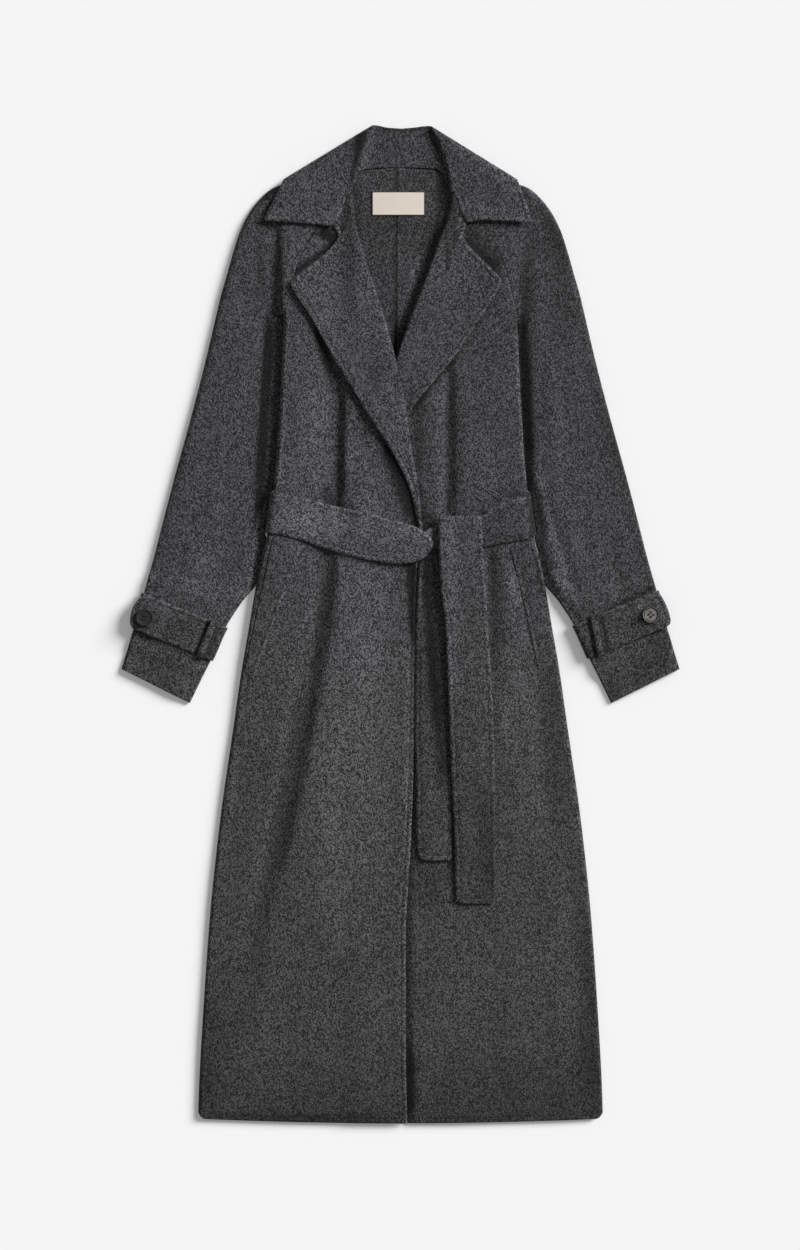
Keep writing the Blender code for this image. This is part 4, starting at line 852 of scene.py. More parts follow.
def over_level(x, y, creased=0.0):
    """Middle of the cloth of the upper front."""
    lap = ramp(x, *OVERLAP_BAND)
    return under_level(x, y, creased) + OVERLAP_RISE * lap + CROSSING_RISE * lapel_crossing(x, y)


def front_level(side, x, y, creased=0.0):
    if side < 0:
        return over_level(x, y, creased)
    return under_level(x, y, creased) - sink(x, y)


def floor_level(x, y):
    """Middle of the lowest layer of cloth, lifted where the belt or the collar lies under it."""
    low, high = BACK_STRETCH
    full, none = BELT_MARGIN
    belt = ramp(y, low - none, low - full) * ramp(y, high + none, high + full)
    full, none = COLLAR_MARGIN
    reach = COLLAR_REACH.y(abs(x))
    collar = ramp(y, reach - none, reach - full)
    return FLOOR_LEVEL + BELT_LIFT * belt + COLLAR_LIFT * collar


def back_level(x, y):
    """Middle of the back's cloth, which curls up to the side seam."""
    floor = floor_level(x, y)
    end = BODY.rim(y) - BACK_UNDER_RIM
    curl = max(1 - (side_distance(x, y) - BACK_END) / BACK_CURL, 0.0)
    return floor + max(end - floor, 0.0) * min(curl, 1.0) ** BACK_CURL_POWER


def on_hem(at):
    """Moves a point near the hem to the hem's slight curve and rounded corners."""
    near = ramp(at.y, HEM_Y + HEM_REACH, HEM_Y)
    if near == 0:
        return at
    corner = max(1 - (BODY.half_width(at.y) - abs(at.x)) / HEM_CORNER, 0.0)
    lift = HEM_SIDE_LIFT * (at.x / HEM_HALF_WIDTH) ** 2 + HEM_CORNER * corner ** 2
    return Vector((at.x, at.y + near * lift))


def steps_between(start, stop, size):
    """Even steps from start to stop, about as long as size."""
    count = max(ceil(abs(stop - start) / size), 1)
    return [mix(start, stop, k / count) for k in range(count + 1)]


def spread(width, close, fill, rim):
    """Shares of a width: columns close together at both ends, evened out where it is narrow."""
    count = len(close) + fill + len(rim) - 1
    even = [k / count for k in range(count + 1)]
    t = ramp(width, *NARROW_BAND)
    if t == 0:
        return even
    first, last = close[-1], width - rim[-1]
    middle = [mix(first, last, k / (fill + 1)) for k in range(1, fill + 1)]
    wide = [w / width for w in close + middle + [width - r for r in reversed(rim)]]
    return [mix(e, w, t) for e, w in zip(even, wide)]


def seam_shift(points, k, gap):
    """A point of a seam, moved aside square to the seam's run."""
    before = points[max(k - 1, 0)]
    after = points[min(k + 1, len(points) - 1)]
    run = (after - before).normalized()
    return points[k] + Vector((-run.y, run.x)) * gap


def raglan_steps():
    """Rows of the opening's table from the underarm to the neck."""
    return steps_between(SEAM_STEP, NECK_STEP, 1 / UPPER_PER_STEP)


def front_seam(side, steps):
    """The front raglan seam at some rows of the opening's table."""
    return [Vector((side * LEFT_OPENING.side_x(step), LEFT_OPENING.side_y(step))) for step in steps]


def back_seam(side, rows):
    """The back raglan seam at some rows of the sleeve."""
    return [Vector((side * BACK_RAGLAN.seam_x(row), BACK_RAGLAN.seam_y(row))) for row in rows]


def armhole_drop(side, row):
    """How low the armhole's seam sits at a row of the sleeve."""
    start, full, end, end_full = ARMHOLE_ROWS
    return ARMHOLE_DROP[side] * ramp(row, start, full) * ramp(row, end, end_full)


# A point of a piece: its place, its place in the flat cloth, whether a finished edge is near,
# and how much painted light or shade it carries
Spot = namedtuple("Spot", "at flat rim shade", defaults=[0.0])


def spot_at(at, z, strokes=(), rim=False, flat=None, shade=0.0):
    """A spot at a point of the plan and a level, with some strokes of painted light and shade laid over it."""
    return Spot(Vector((at.x, at.y, z)), at if flat is None else flat, rim,
                painted_shading(strokes, at.x, at.y) - shade)


def front_row(side, side_at, edge_at, lapel=None, seam_row=None):
    """One row of spots of a front, from the side to its edge, and on over the lapel."""
    stop = edge_at - lapel.outward * lapel.radius if lapel else edge_at
    width = (stop - side_at).length
    spots = []
    for f in spread(width, CLOSE_COLUMNS, FRONT_FILL, RIM_COLUMNS):
        at = on_hem(side_at.lerp(stop, f))
        z = front_level(side, at.x, at.y, 1.0)
        if seam_row:
            z -= armhole_drop(side, seam_row) * (1 - dome(f * width / ARMHOLE_ROUND))
            z -= SEAM_DIP * exp(-(f * width / SEAM_DIP_WIDTH) ** 2)
        spots.append(spot_at(at, z, FRONT_PAINTED_SHADING[side], rim=not lapel))
    if not lapel:
        return spots
    base = spots[-1].at.z
    for k in range(1, ROLL_STEPS + 1):
        angle = pi * k / ROLL_STEPS
        at = stop + lapel.outward * lapel.radius * sin(angle)
        flat = stop + lapel.outward * lapel.radius * angle
        z = base + lapel.radius * (1 - cos(angle))
        # The roll is painted darker by its roll shade, as painted shade over the crest
        spots.append(spot_at(at, z, LAPEL_PAINTED_SHADING[side], True, flat, ROLL_SHADE[side] * sin(angle)))
    reach = lapel.edge - stop
    turned = reach - 2 * reach.dot(lapel.outward) * lapel.outward
    fold = stop + lapel.outward * lapel.radius * pi
    for f in spread(reach.length, [0.0], LAPEL_FILL, RIM_COLUMNS)[1:]:
        at = stop + reach * f
        lift = mix(2 * lapel.radius, BODY_WALL + LAPEL_GAP, ramp(f, 0, LAPEL_SETTLED))
        lift += lapel.curl * ease((f - CURL_START) / (1 - CURL_START)) * ramp(reach.length, *CURL_REACH)
        z = front_level(side, at.x, at.y) + lift
        spots.append(spot_at(at, z, LAPEL_PAINTED_SHADING[side], True, fold + turned * f))
    return spots


def opening_row(side, step):
    """The roll line and the lapel at a row of the opening."""
    table = OPENINGS[side]
    after = table.point("roll", min(step + 0.5, NECK_STEP))
    run = (after - table.point("roll", max(step - 0.5, 0))).normalized()
    radius = ROLL_RADIUS + ROLL_GROWTH * ramp(step, *ROLL_GROWTH_STEPS)
    tip = table.rounded("edge", step, TIP_STEP, TIP_ROUND)
    lapel = Lapel(tip, radius, Vector((run.y, -run.x)) * -side, LAPEL_CURL[side].high(step))
    return table.point("roll", step), lapel


def front_rows(side):
    """Rows of one front, from the hem up to the neck."""
    edge = FRONT_EDGE.left if side < 0 else FRONT_EDGE.right
    rows = []
    for y in HEM_ROWS + steps_between(HEM_ROWS[-1], FRONT_TOP_Y, ROW_STEP)[1:]:
        start = Vector((side * (BODY.half_width(y) - CLOTH / 2), y))
        rows.append(front_row(side, start, Vector((edge(y), y))))
    for step in steps_between(0, SEAM_STEP, 1 / UPPER_PER_STEP):
        y = LEFT_OPENING.side_y(step)
        start = Vector((side * (BODY.half_width(y) - CLOTH / 2), y))
        rows.append(front_row(side, start, *opening_row(side, step)))
    steps = raglan_steps()
    seam = front_seam(side, steps)
    for k, step in list(enumerate(steps))[1:]:
        start = seam_shift(seam, k, side * SEAM / 2)
        rows.append(front_row(side, start, *opening_row(side, step), step + UNDERARM_ROW - SEAM_STEP))
    return rows


def back_row(side, side_at, centre_at):
    """One row of spots of a back, from the side to the centre back seam."""
    spots = []
    width = (centre_at - side_at).length
    for f in spread(width, CLOSE_COLUMNS, BACK_FILL, RIM_COLUMNS[:3]):
        at = on_hem(side_at.lerp(centre_at, f))
        inward = (1 - f) * width
        z = back_level(at.x, at.y) - SEAM_DIP * exp(-(inward / SEAM_DIP_WIDTH) ** 2)
        # Painted shade or highlight beside the centre back seam
        shade = BACK_SEAM_SHADE[side] * exp(-(inward / SEAM_SHADE_WIDTH) ** 2)
        spots.append(spot_at(at, z, BACK_PAINTED_SHADING, shade=shade))
    return spots


def back_rows(side):
    """Rows of one back, from the hem up to the neck seam."""
    centre_x = CENTRE_BACK_X + side * BACK_SEAM_GAP
    rows = []
    for y in HEM_ROWS + steps_between(HEM_ROWS[-1], BACK_TOP_Y, BACK_ROW_STEP)[1:]:
        start = Vector((side * (BODY.half_width(y) - BACK_END), y))
        rows.append(back_row(side, start, Vector((centre_x, y))))
    seam = back_seam(side, steps_between(*BACK_SEAM_ROWS, 1 / UPPER_PER_STEP))
    for k, point in enumerate(seam):
        start = seam_shift(seam, k, side * SEAM / 2)
        if k == 0:
            start = Vector((side * (BODY.half_width(UNDERARM_Y) - BACK_END), UNDERARM_Y - 1))
        share = (point.y - UNDERARM_Y) / (seam[-1].y - UNDERARM_Y)
        rows.append(back_row(side, start, Vector((centre_x, mix(UNDERARM_Y, NECK_SEAM_Y, share)))))
    return rows


def sleeve_tuck(y):
    """How far the sleeve's inner edge reaches in under the body's edge."""
    low, high = BELT_ZONE
    belt = ramp(y, low - BELT_ZONE_FADE, low) * ramp(y, high + BELT_ZONE_FADE, high)
    underarm = ramp(y, *UNDERARM_ZONE)
    beside_belt = -BELT_BULGE - BELT_WALL / 2 - SLEEVE_CLEARANCE
    return mix(mix(SLEEVE_TUCK, beside_belt, belt), -SLEEVE_CLEARANCE, underarm)


def sleeve_frame(side, row):
    """The sleeve's outer and inner points at a row, and its point on the back seam."""
    outer, inner = ARM.point("outer", row), ARM.point("inner", row)
    outer.x *= side
    if row > UNDERARM_ROW:
        inner.x *= side
        return outer, inner, back_seam(side, [row])[0]
    tucked = BODY.half_width(inner.y) - sleeve_tuck(inner.y)
    inner.x = side * mix(inner.x, tucked, ramp(inner.y, *TUCK_ZONE))
    return outer, inner, inner.copy()


def strap_cover(row):
    """Share of the sleeve's lift where the cuff strap passes under it."""
    return ramp(abs(row - STRAP_ROW), STRAP_COVER, STRAP_COVER - STRAP_COVER_FADE)


def sleeve_row(side, row):
    """One ring of a sleeve: along the lower layer, round the outer fold and back on the upper one."""
    outer, inner, under = sleeve_frame(side, row)
    open_row = row >= UNDERARM_ROW
    cover = strap_cover(row)
    floor = FLOOR_LEVEL + STRAP_LIFT * cover
    upper = SLEEVE_UPPER + STRAP_UPPER_LIFT * cover + SHOULDER_RISE * ramp(row, *SHOULDER_ROWS)
    low, low_full, high, high_full = SLEEVE_LOFT_ROWS
    upper += SLEEVE_LOFT[side] * ramp(row, low, low_full) * ramp(row, high, high_full)
    seam_level = mix(floor + SLEEVE_FOLD, SLEEVE_UPPER, ramp(row, *UNDERARM_RISE_ROWS))
    low_end, high_end = seam_level - SLEEVE_FOLD, seam_level + SLEEVE_FOLD
    if open_row:
        low_end = back_level(under.x, under.y)
        high_end = front_level(side, inner.x, inner.y, 1.0) - armhole_drop(side, row)
    low_width = (outer - under).length
    width = (outer - inner).length
    bend = min(SLEEVE_OUTER_ROUND, BEND_SHARE * width)
    fold = min(SLEEVE_FOLD, FOLD_SHARE * width)
    ground = floor_level(outer.x, outer.y) if row > COLLAR_OVER_ROW else floor
    outer_level = mix(ground, upper, OUTER_FOLD_SHARE)
    turn = pi * bend / 2

    def lower(inward):
        at = under.lerp(outer, inward / low_width)
        resting = floor_level(at.x, at.y) if row > COLLAR_OVER_ROW else floor
        level = mix(low_end, resting, ramp(inward, fold, fold + LOWER_BLEND))
        held = mix(outer_level, level, dome((low_width - inward) / bend))
        return spot_at(at, held, flat=outer + (outer - at) * (1 + (turn - bend) / max(low_width, bend)))

    def higher(inward):
        at = inner.lerp(outer, inward / width)
        folded = upper + crease_height(ARM_CREASES[side], at.x, at.y) + drift(at.x + SLEEVE_DRIFT_SHIFT, at.y)
        if open_row:
            beyond = abs(at.x) - LEDGE_X
            level = mix(high_end, folded, ramp(beyond, 0, LEDGE_WIDTH[side]))
            middle, reach = LEDGE_DIP_BAND[side]
            level -= LEDGE_DIP[side] * ease(1 - abs(beyond - middle) / reach) * ramp(at.y, *LEDGE_FADE)
        else:
            level = mix(high_end, folded, ramp(inward, fold, fold + UPPER_BLEND[side]))
        held = mix(outer_level, level, dome((width - inward) / bend))
        if open_row:
            held -= SEAM_DIP * exp(-(inward / SEAM_DIP_WIDTH) ** 2)
        return spot_at(at, held, SLEEVE_PAINTED_SHADING[side])

    bends = [cos(k * pi / 2 / SLEEVE_BEND_STEPS) for k in range(SLEEVE_BEND_STEPS)]
    shares = [k / SLEEVE_LOWER_FILL for k in range(SLEEVE_LOWER_FILL)]
    lowers = [mix(fold, low_width - bend, ease(s) * LOWER_EASING + (1 - LOWER_EASING) * s) for s in shares]
    uppers = [mix(fold, width - bend, (k / SLEEVE_UPPER_FILL) ** UPPER_CROWDING)
              for k in range(SLEEVE_UPPER_FILL)]
    return [lower(0.0) if open_row else spot_at(under, seam_level, flat=2 * outer - under),
            *(lower(inward) for inward in lowers + [low_width - bend * b for b in bends]),
            spot_at(outer, outer_level),
            *(higher(inward) for inward in [width - bend * b for b in reversed(bends)] + uppers[::-1]),
            higher(0.0) if open_row else spot_at(inner, seam_level)]


def sleeve_rows(side):
    """Rings of a sleeve up to the underarm, then open rows between the two raglan seams."""
    rows = [sleeve_row(side, row) for row in steps_between(0, UNDERARM_ROW, 1 / SLEEVE_PER_ROW)]
    steps = raglan_steps()
    open_rows = [step + UNDERARM_ROW - SEAM_STEP for step in steps]
    front = front_seam(side, steps)
    back = back_seam(side, open_rows)
    for k, row in list(enumerate(open_rows))[1:]:
        spots = sleeve_row(side, row)
        spots[0].at.x, spots[0].at.y = seam_shift(back, k, -side * SEAM / 2)
        spots[-1].at.x, spots[-1].at.y = seam_shift(front, k, -side * SEAM / 2)
        rows.append(spots)
    return rows


def collar_end(side, f, start):
    """The collar's front end: straight down the gorge, then out to the tip."""
    name = "left" if side < 0 else "right"
    first = COLLAR_END.rows[0][0]
    if f <= first:
        return start.lerp(COLLAR_END.point(name, first), f / first)
    return COLLAR_END.point(name, f)


def collar_row(side, step):
    """Spots of the collar across one row: up the stand, over the roll and out to the edge."""
    table = COLLARS[side]
    neck, roll, edge = (table.point(name, step) for name in ("neck", "roll", "edge"))
    neck_z, low, high, edge_z = (track(step) for track in (COLLAR_LEVELS.neck_z, COLLAR_LEVELS.low,
                                                           COLLAR_LEVELS.high, COLLAR_LEVELS.edge_z))
    radius = max(abs(low - high) / 2, COLLAR_ROLL_MIN)
    stand_way = (roll - neck).normalized()
    fall_way = (roll - edge).normalized()
    stand_way = stand_way.lerp(fall_way, ramp(step, *STAND_END_STEPS)).normalized()
    stand_top = roll - stand_way * radius
    fall_top = roll - fall_way * radius
    if (stand_top - neck).dot(stand_way) < STAND_MIN:
        neck = stand_top - stand_way * STAND_MIN
    wing = COLLAR_WING_LIFT * ramp(step, *WING_STEPS)
    spots = []
    for f in [k / STAND_STEPS for k in range(STAND_STEPS)]:
        spots.append(spot_at(neck.lerp(stand_top, f), mix(neck_z, low, f), STAND_PAINTED_SHADING))
    start = Vector((stand_top.x, stand_top.y, low))
    stop = Vector((fall_top.x, fall_top.y, high))
    pull = 4 / 3 * radius
    pull_start = start + stand_way.to_3d() * pull
    pull_stop = stop + fall_way.to_3d() * pull
    for t in [k / ROLL_STEPS for k in range(ROLL_STEPS + 1)]:
        at = (start * (1 - t) ** 3 + pull_start * 3 * t * (1 - t) ** 2
              + pull_stop * 3 * t * t * (1 - t) + stop * t ** 3)
        spots.append(spot_at(at.to_2d(), at.z, COLLAR_PAINTED_SHADING))
    straight = ramp(step, *FALL_END_STEPS)
    unevenness = ramp(step, *COLLAR_DRIFT_STEPS)
    for f in spread((edge - fall_top).length, [0.0], FALL_STEPS, RIM_COLUMNS)[1:]:
        at = collar_end(side, f, fall_top).lerp(fall_top.lerp(edge, f), straight)
        z = (mix(high, edge_z, f) + wing * ease(f)
             + drift(at.x, at.y + COLLAR_DRIFT_SHIFT) * unevenness * ease(3 * f))
        spots.append(spot_at(at, z, COLLAR_PAINTED_SHADING, rim=True))
    return spots


def collar_rows():
    """Rows of the collar from its left front end round the neck to its right one."""
    steps = steps_between(0, COLLAR_RIGHT.last, 1 / COLLAR_PER_STEP)
    return [collar_row(-1, step) for step in reversed(steps)] + [collar_row(1, step) for step in steps[1:]]


def belt_base(level, x, y):
    """Middle of the belt's cloth where it lies on a level."""
    return level(x, y) + BODY_WALL / 2 + LAYER_GAP + BELT_WALL / 2


def along_rows(rows, nap_and_painted_shading=(), edge_shade=()):
    """Gives each spot its place in the flat cloth, by the way along and across the rows.

    Edge shades are painted shade beside both edges, counted in columns from the edge.
    """
    made, run = [], 0.0
    for k, row in enumerate(rows):
        middle = len(row) // 2
        if k:
            run += (row[middle] - rows[k - 1][middle]).length
        across, spots = 0.0, []
        for j, at in enumerate(row):
            if j:
                across += (at - row[j - 1]).length
            shade = painted_shading(nap_and_painted_shading, at.x, at.y)
            inward = min(j, len(row) - 1 - j)
            if inward < len(edge_shade):
                shade -= edge_shade[inward]
            spots.append(Spot(at, Vector((across, run)), True, shade))
        made.append(spots)
    return made


def belt_point(level, x, y, f, rise, lift=0.0):
    """A point of the belt on what it crosses, softly crowned by its share of the way across."""
    return Vector((x, y, belt_base(level, x, y) + rise + BELT_SOFTNESS * sin(pi * f) ** BELT_CROWN + lift))


def belt_across(table, step, level):
    """Points across the belt at one row of a stretch."""
    top, low, rise = table.point("top", step), table.point("low", step), table.rise(step)
    line = [(top.lerp(low, f), f) for f in BELT_SHARES]
    return [belt_point(level, at.x, at.y, f, rise) for at, f in line]


def stretch_rows(table, level):
    return [belt_across(table, step, level) for step in steps_between(0, table.last, 1 / STRETCH_PER_STEP)]


def belt_wrap(side, level):
    """Rows of the belt where it bends round the body's side, from underneath to the front."""
    low_y, high_y = BELT_AT_BEND[side]

    def point(share, f):
        angle = pi / 2 - pi * share
        settled = ease(share * 2)
        y = mix(mix(high_y, BACK_STRETCH[1], settled), mix(low_y, BACK_STRETCH[0], settled), f)
        centre = BODY.half_width(y) - BELT_WRAP_DEPTH
        high = belt_base(level, side * centre, y)
        out = (BELT_WRAP_DEPTH + BELT_BULGE) * max(cos(angle), 0.0) ** BELT_WRAP_SQUARE
        rise = abs(sin(angle)) ** BELT_WRAP_SQUARE * (1 if angle >= 0 else -1)
        return Vector((side * (centre + out), y, mix(BELT_WALL / 2, high, (1 + rise) / 2)))

    shares = [k / BELT_WRAP_STEPS for k in range(BELT_WRAP_STEPS, -1, -1)]
    return [[point(share, f) for f in BELT_SHARES] for share in shares]


def belt_waist_rows(side):
    """Rows of a waist stretch, from the back round the side and across the front."""
    if side < 0:
        return belt_wrap(side, over_level) + stretch_rows(LEFT_STRETCH, over_level)
    return belt_wrap(side, under_level) + stretch_rows(RIGHT_STRETCH, under_level)[::-1]


def belt_back_rows():
    """Rows of the stretch that lies flat under the back."""
    def point(share, f):
        y = mix(BACK_STRETCH[1], BACK_STRETCH[0], f)
        end = BODY.half_width(y) - BELT_WRAP_DEPTH - SEAM
        return Vector((mix(-end, end, share), y, BELT_WALL / 2))

    return [[point(k / BELT_BACK_STEPS, f) for f in BELT_SHARES] for k in range(BELT_BACK_STEPS + 1)]


def step_level(x, y):
    """What the belt's ends lie on: the upper front, or past its edge the lower one."""
    lower = under_level(x, y)
    return mix(lower, max(over_level(x, y), lower + OVERLAP_RISE), ramp(x - FRONT_EDGE.left(y), *STEP_BAND))


def tucked_level(x, y):
    """What the short end lies on: the lower front, partly sunk beside the upper one."""
    return under_level(x, y) - SHORT_END_SINK * sink(x, y)


def hang_rows(table, level, lift=None):
    """Rows of a hanging end, from the waist down."""
    ys = [row[0] for row in table.rows]
    end = ys[-1]
    keys = Track([-y for y in ys], range(len(ys)))

    def point(y, f):
        step = keys(-y)
        inset = END_ROUND * (1 - dome((y - end) / END_ROUND))
        x = mix(table.left(step) + inset, table.right(step) - inset, f)
        return belt_point(level, x, y, f, table.rise(step), lift(y) if lift else 0.0)

    down = steps_between(ys[0], end + HANG_END, HANG_STEP) + [end + c for c in reversed(RIM_COLUMNS[:-1])]
    return [[point(y, f) for f in BELT_SHARES] for y in down]


def long_end_rows():
    """The long end, whose first rows turn over the top of the waist stretch."""
    rows = hang_rows(LONG_END, step_level, LONG_END_LIFT.high)
    angles = [pi * END_LOOP_TURN * (1 - k / END_LOOP_STEPS) for k in range(END_LOOP_STEPS + 1)]

    def turned(p, angle):
        return Vector((p.x, p.y + END_LOOP_FLAT * sin(angle), p.z - END_LOOP * (1 - cos(angle))))

    return [[turned(p, angle) for p in rows[0]] for angle in angles] + rows[1:]


def welt_rows(side):
    """Rows of a pocket welt, from its top down, on the front's own level."""
    table = LEFT_WELT if side < 0 else RIGHT_WELT
    lift = BODY_WALL / 2 + WELT_GAP + WELT_WALL / 2
    rows = []
    for step in steps_between(0, table.last, WELT_STEP):
        outer, inner = table.point("outer", step), table.point("inner", step)
        across = [outer.lerp(inner, f) for f in BELT_SHARES]
        rows.append([Vector((p.x, p.y, front_level(side, p.x, p.y, 1.0) + lift)) for p in across])
    return rows


def label_rows():
    """Rows of the bare label on the inside of the back."""
    lift = CLOTH / 2 + SEAM + LABEL_WALL / 2

    def point(x, y):
        bow = LABEL_BOW * sin(pi * (x - LABEL_LEFT) / (LABEL_RIGHT - LABEL_LEFT))
        return Vector((x, y, back_level(x, y) + lift + bow))

    return [[point(x, y) for x in steps_between(LABEL_LEFT, LABEL_RIGHT, LABEL_STEP)]
            for y in steps_between(LABEL_LOW, LABEL_HIGH, LABEL_STEP)]


def strap_frame(side):
    """The cuff strap's middle line from the sleeve's inner edge, and its two directions."""
    way = Vector((side * cos(STRAP_TURN), sin(STRAP_TURN)))
    return Vector(STRAP_START[side]), way, Vector((-way.y, way.x)) * side


def sleeve_edge(side, aside, which):
    """How far along the strap the sleeve's edge lies, for a line beside the strap's middle."""
    start, way, cross = strap_frame(side)
    low, high = EDGE_ROWS
    for trial in range(EDGE_TRIALS):
        row = (low + high) / 2
        at = sleeve_frame(side, row)[which] - start
        if at.dot(cross) < aside:
            low = row
        else:
            high = row
    return at.dot(way)


def strap_line(side, aside):
    """The line that the strap follows round the cuff, beside its middle by some distance."""
    start, way, cross = strap_frame(side)
    first, last = sleeve_edge(side, aside, INNER), sleeve_edge(side, aside, OUTER)
    reach = STRAP_BEND + BELT_CLOTH / 2 + LAYER_GAP + CLOTH / 2
    floor = BELT_CLOTH / 2 + STRAP_FLOOR_GAP
    top = STRAP_TOP - BELT_CLOTH / 2 + STRAP_TOP_GAP
    tab = top + BELT_CLOTH + LAYER_GAP
    points = []

    def put(distance, z):
        at = start + cross * aside + way * distance
        points.append(Vector((at.x, at.y, z)))

    def lay(shares, level):
        for f in shares:
            put(mix(first, last, f), level(f))

    def turn(edge, outward, start_z, stop_z):
        for k in range(STRAP_TURN_STEPS + 1):
            angle = pi * k / STRAP_TURN_STEPS
            square = max(sin(angle), 0.0) ** STRAP_SQUARE if 0 < k < STRAP_TURN_STEPS else 0.0
            fall = abs(cos(angle)) ** STRAP_SQUARE * (1 if cos(angle) > 0 else -1)
            put(edge + outward * (reach * square - STRAP_BEND), mix(stop_z, start_z, (1 + fall) / 2))

    lay(STRAP_HIDDEN, lambda f: top)
    turn(last, 1, top, floor)
    lay(steps_between(*STRAP_UNDER), lambda f: floor)
    turn(first, -1, floor, top)
    lay(steps_between(*STRAP_OVER), lambda f: top)
    lay(steps_between(*STRAP_CLIMB), lambda f: mix(top, tab, ramp(f, *STRAP_CLIMB_BAND)))
    from_edge = STRAP_WIDTH / 2 - abs(aside)
    length = (sleeve_edge(side, 0.0, OUTER) + STRAP_TAB_REACH[side]
              + STRAP_TAB_POINT[side] * sin(pi * from_edge / STRAP_WIDTH)
              - STRAP_TAB_CORNER * (1 - dome(from_edge / STRAP_TAB_CORNER)))
    begin = mix(first, last, STRAP_CLIMB[1])
    for share in [k / STRAP_TAB_STEPS for k in range(1, STRAP_TAB_STEPS + 1)]:
        put(mix(begin, length, share), tab - STRAP_TAB_DROP * ramp(share, *STRAP_TAB_FALL))
    return points


def strap_rows(side):
    return [strap_line(side, STRAP_WIDTH * (f - 0.5)) for f in BELT_SHARES]


def loop_rows(side):
    """The strap loop: a short strip over the strap, down to the sleeve at both ends."""
    start, way, cross = strap_frame(side)
    at = start + way * LOOP_INSET[side]
    down = Matrix.Rotation(LOOP_TURN[side], 2) @ cross
    high = STRAP_TOP + LAYER_GAP + LOOP_WALL / 2 + LOOP_CLEAR
    low = STRAP_SEAT + STRAP_UPPER_LIFT + CLOTH + LOOP_END_GAP + LOOP_END_CLEAR

    def point(share, f):
        p = at + down * LOOP_LENGTH[side] * share + way * LOOP_WIDTH * f * side
        z = mix(low, high, dome((0.5 - abs(share)) / LOOP_BEND))
        return Vector((p.x, p.y, z + LOOP_BULGE * cos(pi * f)))

    return [[point(k / LOOP_STEPS - 0.5, j / LOOP_COLUMNS - 0.5) for j in range(LOOP_COLUMNS + 1)]
            for k in range(LOOP_STEPS + 1)]


def linear(colour):
    """Linear light from an sRGB hex value."""
    parts = [int(colour[k:k + 2], 16) / 255 for k in (1, 3, 5)]
    return [c / 12.92 if c <= 0.04045 else ((c + 0.055) / 1.055) ** 2.4 for c in parts]


def node(tree, kind, output, values=None, links=None, **settings):
    """Adds a shader node with its settings, its sockets' values and their sources, and gives one output."""
    made = tree.nodes.new("ShaderNode" + kind)
    for name, value in settings.items():
        setattr(made, name, value)
    for name, value in (values or {}).items():
        made.inputs[name].default_value = value
    for name, source in (links or {}).items():
        tree.links.new(source, made.inputs[name])
    return made.outputs[output]


def scaled(colour, amount):
    return [amount * c for c in colour]


def ramp_node(tree, source, *stops):
    """Colours by value: stops are pairs of position and colour."""
    colour = node(tree, "ValToRGB", "Color", links={"Fac": source})
    elements = colour.node.color_ramp.elements
    elements.remove(elements[0])
    elements[0].position = stops[0][0]
    elements[0].color = (*stops[0][1], 1)
    for position, shade in stops[1:]:
        elements.new(position).color = (*shade, 1)
    return colour


def new_material(name, **values):
    """A material with its shader's own constant values."""
    material = bpy.data.materials.new(name)
    material.use_nodes = True
    shader = material.node_tree.nodes["Principled BSDF"]
    for key, value in values.items():
        shader.inputs[key.replace("_", " ")].default_value = value
    return material, material.node_tree, shader


